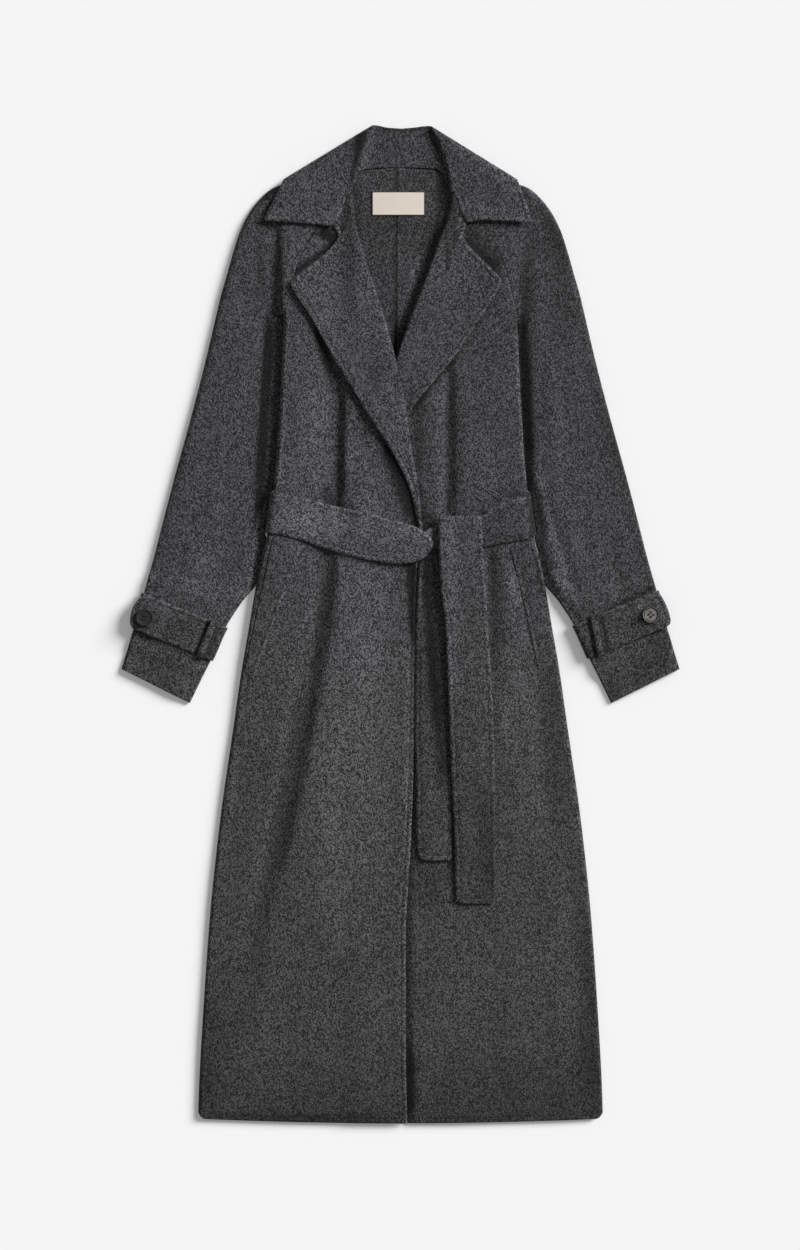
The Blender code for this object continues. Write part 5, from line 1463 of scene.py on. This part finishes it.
def wool_twill(name, light_and_shade_tint, edge_highlight_gain):
    """Melton-finished melange twill of grey and near-black yarns: matt, with a soft nap and fine
    diagonal ribs, so the eye gets a dark charcoal full of paler flecks."""
    cloth = bpy.context.scene.coat_cloth
    material, tree, shader = new_material(
        name, Roughness=cloth.roughness, Metallic=0.0, IOR=1.5, Specular_IOR_Level=0.2,
        Sheen_Weight=cloth.nap_and_painted_shading, Sheen_Roughness=0.45, Sheen_Tint=(*linear("#CACACC"), 1))
    flat = node(tree, "UVMap", "UV", uv_map="flat")

    def laid(across, along, turn):
        """The flat cloth's coordinates in units of a pattern's own size, turned to its direction."""
        values = {"Rotation": (0, 0, radians(turn)), "Scale": (1 / across, 1 / along, 1)}
        return node(tree, "Mapping", "Vector", values, {"Vector": flat})

    def maths(operation, *terms):
        numbers = {k: term for k, term in enumerate(terms) if isinstance(term, float)}
        sources = {k: term for k, term in enumerate(terms) if not isinstance(term, float)}
        return node(tree, "Math", "Value", numbers, sources, operation=operation)

    def near(distance, reach):
        """From 1 at a line to 0 at its reach."""
        values = {"From Min": 0.0, "From Max": reach, "To Min": 1.0, "To Max": 0.0}
        return node(tree, "MapRange", "Result", values, {"Value": distance})

    def times(first, second):
        return node(tree, "Mix", 2, {0: 1.0}, {6: first, 7: second}, data_type="RGBA", blend_type="MULTIPLY")

    # One cell for each fleck of yarn, with painted shade towards its edge where a round yarn turns from the light
    yarns = laid(cloth.fleck_width, cloth.fleck_length, TWILL_TURN)
    cells = node(tree, "TexVoronoi", "Color", {"Scale": 1.0, "Randomness": 0.9}, {"Vector": yarns},
                 voronoi_dimensions="2D")
    fleck = node(tree, "SeparateColor", "Red", links={"Color": cells})
    values = {"Scale": RIB_WAVE, "Distortion": 1.2, "Detail": 1.0, "Detail Scale": 2.0}
    rib = node(tree, "TexWave", "Fac", values, {"Vector": laid(cloth.rib_gap, cloth.rib_gap, TWILL_TURN)},
               bands_direction="X")
    fuzz = node(tree, "TexNoise", "Fac", {"Scale": 1.0, "Detail": 2.0, "Roughness": 0.6},
                {"Vector": laid(FUZZ_SIZE, FUZZ_SIZE, FUZZ_TURN)}, noise_dimensions="2D")
    cloud = node(tree, "TexNoise", "Fac", {"Scale": 1.0, "Detail": 3.0, "Roughness": 0.55},
                 {"Vector": laid(*CLOUD_SIZE, 0)}, noise_dimensions="2D")
    value = maths("SUBTRACT", maths("MULTIPLY", fleck, 0.72),
                  maths("MULTIPLY", cells.node.outputs["Distance"], 0.3))
    value = maths("ADD", value, maths("MULTIPLY", rib, 0.05))
    value = maths("ADD", maths("ADD", value, maths("MULTIPLY", fuzz, 0.3)), 0.1)
    yarn = ramp_node(tree, value, (0.2, cloth.dark), (0.5, cloth.middle), (0.74, cloth.light))
    place = node(tree, "TexCoord", "Object")
    height = node(tree, "SeparateXYZ", "Y", links={"Vector": place})
    # The colour is a touch warmer and darker at the hem and cooler at the shoulders, and scaled by the tint, which
    # is painted light and shade
    cast = node(tree, "MapRange", "Result", {"From Min": -0.62, "From Max": 0.1}, {"Value": height})
    cast = ramp_node(tree, cast, (0.0, scaled(HEM_CAST, light_and_shade_tint)), (1.0, scaled(SHOULDER_CAST, light_and_shade_tint)))
    shade = ramp_node(tree, cloud, (0.3, [0.94] * 3), (0.7, [1.06] * 3))
    # Painted highlight along finished edges, where a rolled edge catches the light, and painted shade along the sewn
    # groove a little way in, which the bump also sinks
    rim = node(tree, "Attribute", "Fac", attribute_name="rim")
    sewn = near(maths("ABSOLUTE", maths("SUBTRACT", rim, cloth.groove_inset)), GROOVE_REACH)
    edge_highlight = maths("ADD", maths("MULTIPLY", near(rim, EDGE_HIGHLIGHT_REACH), edge_highlight_gain), 1.0)
    edge = maths("SUBTRACT", edge_highlight, maths("MULTIPLY", sewn, 0.12))
    # Painted light and shade from the strokes, carried by a mesh attribute, multiplies the colour
    nap_and_painted_shading = node(tree, "Attribute", "Fac", attribute_name="nap_and_painted_shading")
    tree.links.new(times(times(times(times(yarn, cast), shade), edge), nap_and_painted_shading), shader.inputs["Base Color"])
    relief = maths("SUBTRACT", value, maths("MULTIPLY", sewn, 0.9))
    tree.links.new(node(tree, "Bump", "Normal", {"Strength": 0.4, "Distance": 0.0005}, {"Height": relief}),
                   shader.inputs["Normal"])
    return material


def polished_horn(name, colour, roughness=0.34):
    """Turned and polished buffalo horn: near black, with faint paler streaks and a soft gloss."""
    material, tree, shader = new_material(name, Roughness=roughness, Metallic=0.0, IOR=1.54)
    place = node(tree, "TexCoord", "Object")
    grain = node(tree, "Mapping", "Vector", {"Scale": (160, 420, 160), "Rotation": (0, 0, 0.5)},
                 {"Vector": place})
    streaks = node(tree, "TexNoise", "Fac", {"Scale": 1.0, "Detail": 3.0}, {"Vector": grain})
    horn = ramp_node(tree, streaks, (0.35, colour), (0.75, scaled(colour, 2.2)))
    tree.links.new(horn, shader.inputs["Base Color"])
    return material


def waxed_thread(name, colour):
    """Waxed sewing thread: matt, slightly fibrous."""
    material, tree, shader = new_material(name, Roughness=0.8, Metallic=0.0, IOR=1.5)
    place = node(tree, "TexCoord", "Object")
    twist = node(tree, "TexNoise", "Fac", {"Scale": 1500.0, "Detail": 1.0}, {"Vector": place})
    base = linear(colour)
    thread = ramp_node(tree, twist, (0.3, scaled(base, 0.6)), (0.7, base))
    tree.links.new(thread, shader.inputs["Base Color"])
    return material


def woven_satin(name):
    """Woven satin tape: a smooth cream face with a silky sheen, and a dark brown band painted along its edge as the
    shadow at the label's edge.
    """
    label = bpy.context.scene.coat_label
    material, tree, shader = new_material(name, Roughness=0.5, Metallic=0.0, IOR=1.5, Sheen_Weight=0.15)
    flat = node(tree, "UVMap", "UV", uv_map="flat")
    # Satin threads are about 0.1 mm; they are drawn 1 mm wide so they show
    threads = node(tree, "Mapping", "Vector", {"Scale": (120, 1000, 1)}, {"Vector": flat})
    weave = node(tree, "TexNoise", "Fac", {"Scale": 1.0, "Detail": 2.0}, {"Vector": threads},
                 noise_dimensions="2D")
    satin = ramp_node(tree, weave, (0.3, scaled(label.colour, 0.93)), (0.7, label.colour))
    rim = node(tree, "Attribute", "Fac", attribute_name="rim")
    # A band of painted shadow along the label's outermost millimetre
    painted_edge_shadow = node(tree, "MapRange", "Result", {"From Min": 0.0008, "From Max": 0.0012}, {"Value": rim})
    both = node(tree, "Mix", 2, {6: (*label.painted_edge_shadow, 1)}, {0: painted_edge_shadow, 7: satin}, data_type="RGBA")
    tree.links.new(both, shader.inputs["Base Color"])
    tree.links.new(node(tree, "Bump", "Normal", {"Strength": 0.2, "Distance": 0.0002}, {"Height": weave}),
                   shader.inputs["Normal"])
    return material


def rim_tree(rows, sides):
    """Finished edges of a piece as points to measure from: first, last, top and bottom lines."""
    lines = {"last": [row[-1] for row in rows], "first": [row[0] for row in rows],
             "bottom": rows[0], "top": rows[-1]}
    points = []
    for name in ("last", "first", "bottom", "top"):
        line = [spot.at for spot in lines[name] if spot.rim] if name in sides else []
        for a, b in zip(line, line[1:]):
            count = max(ceil((b - a).length / RIM_POINT_GAP), 1)
            if (b - a).length < RIM_BREAK:
                points += [a.lerp(b, k / count) for k in range(count + 1)]
    tree = kdtree.KDTree(len(points))
    for k, point in enumerate(points):
        tree.insert(point, k)
    tree.balance()
    return tree


def mesh_from(bm, name, smooth=True):
    """Turns a bmesh into a mesh, and frees it."""
    mesh = bpy.data.meshes.new(name)
    bm.to_mesh(mesh)
    bm.free()
    for face in mesh.polygons:
        face.use_smooth = smooth
    return mesh


def rim_relief(distance, thin):
    """How far cloth falls at a finished edge, and along the groove sewn beside it."""
    cloth = bpy.context.scene.coat_cloth
    if thin:
        return 0.0
    groove = (distance - cloth.groove_inset / MM) / GROOVE_WIDTH
    return -RIM_FALL * (1 - dome(distance / RIM_ROUND)) - GROOVE_DEPTH * exp(-groove * groove)


def add_sheet(name, stands_for, rows, wall, material, sides="", bevel=0.55):
    """A wall of cloth: a grid shaped by rows of spots, thickened and rounded at its edges.

    Rows may have unlike numbers of spots: the shorter ones leave the grid's far columns out.
    """
    tree = rim_tree(rows, sides) if sides else None
    columns = max(len(row) for row in rows)
    bm = bmesh.new()
    bmesh.ops.create_grid(bm, x_segments=columns - 1, y_segments=len(rows) - 1, size=0.5)
    flat_layer = bm.loops.layers.uv.new("flat")
    rim_layer = bm.verts.layers.float.new("rim")
    # Share of painted light and shade at each vertex
    painted_shading_layer = bm.verts.layers.float.new("nap_and_painted_shading")
    unused, flats = [], {}
    for vert in bm.verts:
        i = round((vert.co.y + 0.5) * (len(rows) - 1))
        j = round((vert.co.x + 0.5) * (columns - 1))
        if j >= len(rows[i]):
            unused.append(vert)
            continue
        spot = rows[i][j]
        distance = min(tree.find(spot.at)[2], RIM_FAR) if tree and spot.rim else RIM_FAR
        fall = rim_relief(distance, wall < WELT_WALL) if distance < RIM_FAR else 0
        # The wall stands on the floor at its lowest
        vert.co = Vector((spot.at.x, spot.at.y, max(spot.at.z + fall, wall / 2))) * MM
        vert[rim_layer] = distance * MM
        vert[painted_shading_layer] = 1 + spot.shade
        flats[vert] = spot.flat * MM
    for face in bm.faces:
        for loop in face.loops:
            if loop.vert in flats:
                loop[flat_layer].uv = flats[loop.vert]
    bmesh.ops.delete(bm, geom=unused, context="VERTS")
    bmesh.ops.remove_doubles(bm, verts=bm.verts, dist=WELD * MM)
    obj = add_piece(name, mesh_from(bm, name), material, stands_for)
    shell = obj.modifiers.new("wall", "SOLIDIFY")
    shell.thickness = wall * MM
    shell.offset = 0.0
    shell.use_quality_normals = True
    round_edge = obj.modifiers.new("edge", "BEVEL")
    round_edge.width = bevel * MM
    round_edge.segments = 2
    round_edge.limit_method = "ANGLE"
    round_edge.angle_limit = radians(60)
    return obj


def add_piece(name, mesh, material, stands_for):
    """Puts a finished mesh in the scene, in place of its solid."""
    mesh.materials.append(material)
    obj = bpy.data.objects.new(name, mesh)
    bpy.context.scene.collection.objects.link(obj)
    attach(obj, "root")
    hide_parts(stands_for)
    return obj


# Copies of the one wool, each painted paler or darker by its tint as painted light and shade, with its own strength
# of painted highlight at finished edges
def wool(light_and_shade_tint=1.0, edge_highlight_gain=0.3):
    name = f"charcoal_wool_twill_{round(light_and_shade_tint * 100)}_{round(edge_highlight_gain * 100)}"
    return bpy.data.materials.get(name) or wool_twill(name, light_and_shade_tint, edge_highlight_gain)


def add_wool(part, rows, wall, sides="", bevel=0.55, light_and_shade_tint=1.0, edge_highlight_gain=0.3):
    """A sheet of the coat's wool, painted a little paler or darker by its tint as painted light and shade, and with
    a painted highlight at the finished edges it is given.
    """
    return add_sheet(f"{part}_wool", part, rows, wall, wool(light_and_shade_tint, edge_highlight_gain),
                     sides, bevel)


SIDES = ((-1, "left"), (1, "right"))


class CoatCloth(bpy.types.PropertyGroup):
    """Colours and sizes of the coat's cloth."""
    dark: FloatVectorProperty(name="Dark yarn", description="Darkest yarns of the melange", subtype="COLOR",
                              default=linear("#18181A"), min=0, max=1)
    middle: FloatVectorProperty(name="Middle yarn", description="Most of the cloth", subtype="COLOR",
                                default=linear("#313132"), min=0, max=1)
    light: FloatVectorProperty(name="Pale yarn", description="Pale flecks of the melange", subtype="COLOR",
                               default=linear("#5B5B5C"), min=0, max=1)
    fleck_width: FloatProperty(name="Fleck width", description="Width of a fleck of yarn", unit="LENGTH",
                               default=1.1 * MM, min=0.2 * MM)
    fleck_length: FloatProperty(name="Fleck length", description="Length of a fleck of yarn", unit="LENGTH",
                                default=1.5 * MM, min=0.2 * MM)
    rib_gap: FloatProperty(name="Rib gap", description="Distance between the twill's diagonal ribs", unit="LENGTH",
                           default=3.2 * MM, min=0.5 * MM)
    roughness: FloatProperty(name="Roughness", description="How matt the wool is", default=0.92, min=0, max=1)
    nap_and_painted_shading: FloatProperty(name="Nap", description="Strength of the wool's soft sheen", default=0.16, min=0, max=1)
    groove_inset: FloatProperty(name="Groove inset", description="From a finished edge to the groove sewn beside it",
                                unit="LENGTH", default=5.4 * MM, min=1 * MM)


class CoatButton(bpy.types.PropertyGroup):
    """Colours and sizes of the cuff buttons."""
    left_colour: FloatVectorProperty(name="Left horn", description="Colour of the left cuff's button",
                                     subtype="COLOR", default=linear("#1D1B19"), min=0, max=1)
    # The right button's paler grey is painted sheen over the horn's own colour, standing in for the light its polish
    # catches
    right_horn_and_painted_sheen: FloatVectorProperty(name="Right horn", description="Colour of the right cuff's button",
                                      subtype="COLOR", default=linear("#5E5C57"), min=0, max=1)
    # Painted shade for both buttons' outline and groove rings
    ring_shade_colour: FloatVectorProperty(name="Horn rim", description="Colour of both buttons' rims", subtype="COLOR",
                                    default=linear("#121212"), min=0, max=1)
    radius: FloatProperty(name="Radius", description="Radius of a button", unit="LENGTH",
                          default=BUTTON_RADIUS * MM, min=5 * MM)
    thickness: FloatProperty(name="Thickness", description="Thickness of a button at its rim", unit="LENGTH",
                             default=BUTTON_THICK * MM, min=1 * MM)


class CoatLabel(bpy.types.PropertyGroup):
    """Colours of the bare label."""
    colour: FloatVectorProperty(name="Satin", description="Colour of the label's face", subtype="COLOR",
                                default=linear("#DDD3C5"), min=0, max=1)
    # Painted shadow along the label's edge
    painted_edge_shadow: FloatVectorProperty(name="Edge", description="Colour of the label's sewn edge", subtype="COLOR",
                                default=linear("#3A2E28"), min=0, max=1)


class CoatStage(bpy.types.PropertyGroup):
    """Floor and light."""
    floor: FloatVectorProperty(name="Floor", description="Colour of the plain floor", subtype="COLOR",
                               default=(0.79, 0.79, 0.79), min=0, max=1)
    glow: FloatProperty(name="Floor glow", description="Light of the floor itself, which keeps shadows on it faint",
                        default=0.17, min=0)
    key: FloatProperty(name="Key light", description="Strength of the soft light from the upper right",
                       default=5.1, min=0)
    key_height: FloatProperty(name="Key height", description="Angle of the key light above the floor",
                              subtype="ANGLE", default=radians(27), min=0, max=radians(90))
    key_turn: FloatProperty(name="Key turn", description="Direction of the key light, from the coat's left side",
                            subtype="ANGLE", default=radians(31))
    key_softness: FloatProperty(name="Key softness", description="Spread of the key light", subtype="ANGLE",
                                default=radians(26), min=0)
    fill: FloatProperty(name="Fill", description="Strength of the light from all around", default=0.25, min=0)


class COAT_OT_stage(bpy.types.Operator):
    """Makes the camera, the floor and the light"""
    bl_idname = "coat.stage"
    bl_label = "Stage"

    def execute(self, context):
        stage = context.scene.coat_stage

        def place(name, data):
            obj = bpy.data.objects.new(name, data)
            context.scene.collection.objects.link(obj)
            return obj

        camera = bpy.data.cameras.new("camera")
        camera.lens, camera.sensor_width, camera.clip_end = CAMERA_LENS, CAMERA_SENSOR, CAMERA_END
        holder = place("camera", camera)
        holder.location = CAMERA_AT
        context.scene.camera = holder

        bm = bmesh.new()
        bmesh.ops.create_grid(bm, x_segments=1, y_segments=1, size=FLOOR_HALF)
        mesh = mesh_from(bm, "floor", smooth=False)
        # Matt painted board, very faintly mottled, which also glows by its own light so that shadows on it stay
        # faint: the eye gets an even pale ground
        material, tree, shader = new_material(
            "painted_board", Roughness=1.0, Metallic=0.0, IOR=1.5, Specular_IOR_Level=0.0,
            Emission_Color=(*stage.floor, 1), Emission_Strength=stage.glow)
        paint = node(tree, "TexNoise", "Fac", {"Scale": 3.0, "Detail": 1.0},
                     {"Vector": node(tree, "TexCoord", "Object")})
        tree.links.new(ramp_node(tree, paint, (0.0, scaled(stage.floor, 0.995)), (1.0, stage.floor)),
                       shader.inputs["Base Color"])
        mesh.materials.append(material)
        place("floor", mesh)

        light = bpy.data.lights.new("key", "SUN")
        light.energy = stage.key
        light.angle = stage.key_softness
        key = place("key", light)
        turn, height = stage.key_turn, stage.key_height
        towards = Vector((cos(turn) * cos(height), sin(turn) * cos(height), sin(height)))
        key.rotation_mode = "QUATERNION"
        key.rotation_quaternion = towards.to_track_quat("Z", "Y")
        world = bpy.data.worlds.new("studio")
        world.use_nodes = True
        around = world.node_tree.nodes["Background"]
        around.inputs["Color"].default_value = (0.99, 0.995, 1.0, 1)
        around.inputs["Strength"].default_value = stage.fill
        context.scene.world = world
        context.scene.view_settings.view_transform = "Standard"
        return {"FINISHED"}


class COAT_OT_backs(bpy.types.Operator):
    """Makes the two halves of the back"""
    bl_idname = "coat.backs"
    bl_label = "Backs"

    def execute(self, context):
        for side, name in SIDES:
            # The backs are painted darker by their tint, as painted shade on the coat's inside
            add_wool(f"back_{name}", back_rows(side), UNDER_WALL, bevel=0.45, light_and_shade_tint=0.8)
        return {"FINISHED"}


class COAT_OT_fronts(bpy.types.Operator):
    """Makes the two fronts with their lapels"""
    bl_idname = "coat.fronts"
    bl_label = "Fronts and lapels"

    def execute(self, context):
        for side, name in SIDES:
            add_wool(f"front_{name}", front_rows(side), BODY_WALL, "last bottom")
        return {"FINISHED"}


class COAT_OT_sleeves(bpy.types.Operator):
    """Makes the two raglan sleeves"""
    bl_idname = "coat.sleeves"
    bl_label = "Sleeves"

    def execute(self, context):
        for side, name in SIDES:
            # The sleeves are painted a touch darker by their tint, the right one more, as painted shade
            add_wool(f"sleeve_{name}", sleeve_rows(side), UNDER_WALL, bevel=0.5,
                     light_and_shade_tint=0.95 if side > 0 else 0.98)
        return {"FINISHED"}


class COAT_OT_collar(bpy.types.Operator):
    """Makes the collar, from its left tip round the neck to its right one"""
    bl_idname = "coat.collar"
    bl_label = "Collar"

    def execute(self, context):
        add_wool("collar", collar_rows(), COLLAR_WALL,
                 "last first top bottom", edge_highlight_gain=0.12)
        return {"FINISHED"}


class COAT_OT_welts(bpy.types.Operator):
    """Makes the two pocket welts"""
    bl_idname = "coat.welts"
    bl_label = "Pocket welts"

    def execute(self, context):
        for side, name in SIDES:
            add_wool(f"welt_{name}", along_rows(welt_rows(side)), WELT_WALL,
                     "last top", bevel=0.5)
        return {"FINISHED"}


class COAT_OT_belt(bpy.types.Operator):
    """Makes the tied belt"""
    bl_idname = "coat.belt"
    bl_label = "Belt"

    def execute(self, context):
        stretches = [
            # Each stretch's tint and strokes paint light and shade on it: the left waist stretch paler, the right
            # one darker
            ("back", belt_back_rows(), ["floor"], "first last", 1.0, []),
            ("waist_left", belt_waist_rows(-1), ["front_left_wool"], "first last top", 1.3, STRETCH_LEFT_PAINTED_SHADING),
            ("waist_right", belt_waist_rows(1), ["front_right_wool"], "first last", 0.93, STRETCH_RIGHT_PAINTED_SHADING),
            ("knot", stretch_rows(KNOT, step_level), ["front_left_wool"], "first last", 1.0, KNOT_PAINTED_SHADING),
            ("end_short", hang_rows(SHORT_END, tucked_level), ["front_right_wool"], "first last top", 1.0,
             SHORT_END_PAINTED_SHADING),
            ("end_long", long_end_rows(), ["belt_knot_wool", "front_right_wool"], "first last top", 1.0,
             LONG_END_PAINTED_SHADING),
        ]
        for name, rows, on, sides, light_and_shade_tint, nap_and_painted_shading in stretches:
            add_wool(f"belt_{name}", along_rows(rows, nap_and_painted_shading), BELT_WALL, sides, bevel=0.9, light_and_shade_tint=light_and_shade_tint,
                     edge_highlight_gain=0.1)
        return {"FINISHED"}


class COAT_OT_straps(bpy.types.Operator):
    """Makes the cuff straps and their loops"""
    bl_idname = "coat.straps"
    bl_label = "Cuff straps and loops"

    def execute(self, context):
        for side, name in SIDES:
            # The strap is painted a touch darker and its loop a touch paler by their tints, as painted light and
            # shade
            add_wool(f"strap_{name}", along_rows(strap_rows(side), STRAP_PAINTED_SHADING[side]), BELT_CLOTH,
                     "last top bottom", bevel=0.7, light_and_shade_tint=0.97)
            add_wool(f"strap_loop_{name}", along_rows(loop_rows(side), (), LOOP_EDGE_SHADE), LOOP_WALL,
                     bevel=0.5, light_and_shade_tint=1.05)
        return {"FINISHED"}


def button_profile(radius, thick):
    """Half the section of a button: a flat foot, a round rim, two fine rings and a dished middle."""
    return [(0, 0), (radius - 1.2, 0), (radius - 0.35, 0.35), (radius, 1.2), (radius, thick - 1.1),
            (radius - 0.2, thick - 0.45), (radius - 0.7, thick - 0.08), (radius - 1.2, thick),
            (radius - 1.8, thick - 0.1), (radius - 2.2, thick - 0.45), (radius - 2.5, thick - 0.8),
            (radius - 2.9, thick - 0.72), (radius - 3.4, thick - 0.85), (radius - 4.6, thick - 1.0),
            (radius - 6.5, thick - 1.1), (0, thick - 1.15)]


def turn_verts(bm, verts, angle):
    """Turns some vertices about the upright axis."""
    bmesh.ops.rotate(bm, verts=verts, cent=(0, 0, 0), matrix=Matrix.Rotation(angle, 3, "Z"))


def paint_faces(made, index):
    """Gives one of the mesh's materials to all faces of a newly made form."""
    for face in {face for vert in made["verts"] for face in vert.link_faces}:
        face.material_index = index


def button_mesh(name, side, place):
    """A turned button with its four holes and thread, and the buttonhole's end where it shows."""
    button = bpy.context.scene.coat_button
    radius, thick = button.radius / MM, button.thickness / MM
    way = strap_frame(side)[1]
    bm = bmesh.new()
    verts = [bm.verts.new((x * MM, 0, z * MM)) for x, z in button_profile(radius, thick)]
    edges = [bm.edges.new(pair) for pair in zip(verts, verts[1:])]
    bmesh.ops.spin(bm, geom=verts + edges, cent=(0, 0, 0), axis=(0, 0, 1), angle=2 * pi, steps=BUTTON_STEPS,
                   use_merge=True)
    bmesh.ops.remove_doubles(bm, verts=bm.verts, dist=WELD * MM)
    bmesh.ops.recalc_face_normals(bm, faces=bm.faces)
    tilt = way.angle(Vector((1, 0))) * (1 if way.y > 0 else -1)
    top = thick - BUTTON_DISH
    for x in (-HOLE_SPREAD, HOLE_SPREAD):
        for y in (-HOLE_SPREAD, HOLE_SPREAD):
            made = bmesh.ops.create_cone(bm, cap_ends=True, segments=16, radius1=HOLE_RADIUS * MM,
                                         radius2=HOLE_RADIUS * MM, depth=HOLE_DEPTH * MM)
            bmesh.ops.translate(bm, verts=made["verts"], vec=Vector((x, y, top)) * MM)
            paint_faces(made, SHADOW)
    for y in (-HOLE_SPREAD, HOLE_SPREAD):
        made = bmesh.ops.create_uvsphere(bm, u_segments=16, v_segments=8, radius=THREAD_RADIUS * MM)
        for vert in made["verts"]:
            # The ball's two halves are drawn apart to the two holes
            vert.co.x += (HOLE_SPREAD if vert.co.x > 0 else -HOLE_SPREAD) * MM
            vert.co.y += y * MM
            vert.co.z += (top + THREAD_LIFT) * MM
        paint_faces(made, THREAD)
    turn_verts(bm, bm.verts, tilt + BUTTON_SPIN)
    # The buttonhole's end is a thin box of painted shade
    if side > 0:
        made = bmesh.ops.create_cube(bm, size=MM)
        bmesh.ops.scale(bm, verts=made["verts"], vec=BUTTONHOLE)
        turn_verts(bm, made["verts"], tilt)
        aside = way * -(radius + BUTTONHOLE[0] / 2 - BUTTONHOLE_TUCK) + Vector(BUTTONHOLE_SHIFT)
        bmesh.ops.translate(bm, verts=made["verts"], vec=Vector((aside.x, aside.y, -BUTTON_GAP)) * MM)
        paint_faces(made, SHADOW)
    bmesh.ops.translate(bm, verts=bm.verts, vec=place * MM)
    mesh = mesh_from(bm, name)
    for face in mesh.polygons:
        inset = radius - (Vector(face.center) / MM - place).to_2d().length
        # Faces in the outline and groove rings take the matt near-black horn, as painted shade
        if face.material_index == HORN and any(low < inset < high for low, high in PAINTED_SHADE_RINGS):
            face.material_index = SHADE_RING
    return mesh


class COAT_OT_buttons(bpy.types.Operator):
    """Makes the two cuff buttons and their thread"""
    bl_idname = "coat.buttons"
    bl_label = "Cuff buttons"

    def execute(self, context):
        button = context.scene.coat_button
        for side, name in SIDES:
            place = Vector((*BUTTON_AT[side], STRAP_TOP + BELT_CLOTH + LAYER_GAP + BUTTON_GAP + BUTTON_RAISE))
            mesh = button_mesh(name, side, place)
            # The right button's colour carries painted sheen
            colour = button.left_colour if side < 0 else button.right_horn_and_painted_sheen
            horn = polished_horn(f"polished_horn_{name}", colour)
            add_piece(f"button_{name}_horn", mesh, horn, f"button_{name}")
            mesh.materials.append(waxed_thread(f"waxed_thread_{name}", "#1A1A1B"))
            # A near-black copy of the thread's material, as painted shade in the holes and at the buttonhole
            mesh.materials.append(waxed_thread(f"hole_shadow_{name}", "#060606"))
            # A matt near-black horn, as painted shade on the rings
            mesh.materials.append(polished_horn(f"painted_shade_horn_{name}", button.ring_shade_colour, 0.9))
        return {"FINISHED"}


class COAT_OT_label(bpy.types.Operator):
    """Makes the bare label inside the back of the neck"""
    bl_idname = "coat.label"
    bl_label = "Bare label"

    def execute(self, context):
        add_sheet("neck_label_satin", "neck_label", along_rows(label_rows()), LABEL_WALL,
                  woven_satin("woven_satin"),
                  "first last top bottom", bevel=0.2)
        return {"FINISHED"}


OPERATORS = (COAT_OT_stage, COAT_OT_backs, COAT_OT_fronts, COAT_OT_sleeves, COAT_OT_collar, COAT_OT_welts,
             COAT_OT_belt, COAT_OT_straps, COAT_OT_buttons, COAT_OT_label)
GROUPS = {"coat_cloth": CoatCloth, "coat_button": CoatButton, "coat_label": CoatLabel,
          "coat_stage": CoatStage}


class COAT_PT_pieces(bpy.types.Panel):
    """Lists the coat's pieces, and its sizes and colours"""
    bl_idname = "COAT_PT_pieces"
    bl_label = "Wrap Coat"
    bl_space_type = "VIEW_3D"
    bl_region_type = "UI"
    bl_category = "Wrap Coat"

    def draw(self, context):
        for group, kind in GROUPS.items():
            box = self.layout.box()
            for name in kind.__annotations__:
                box.prop(getattr(context.scene, group), name)
        for operator in OPERATORS:
            self.layout.operator(operator.bl_idname)


def register():
    for kind in (*GROUPS.values(), *OPERATORS, COAT_PT_pieces):
        bpy.utils.register_class(kind)
    for name, kind in GROUPS.items():
        setattr(bpy.types.Scene, name, PointerProperty(type=kind))


def unregister():
    for name in GROUPS:
        delattr(bpy.types.Scene, name)
    for kind in reversed((*GROUPS.values(), *OPERATORS, COAT_PT_pieces)):
        bpy.utils.unregister_class(kind)


def main():
    register()
    for operator in OPERATORS:
        group, name = operator.bl_idname.split(".")
        getattr(getattr(bpy.ops, group), name)()


if __name__ == "__main__":
    main()
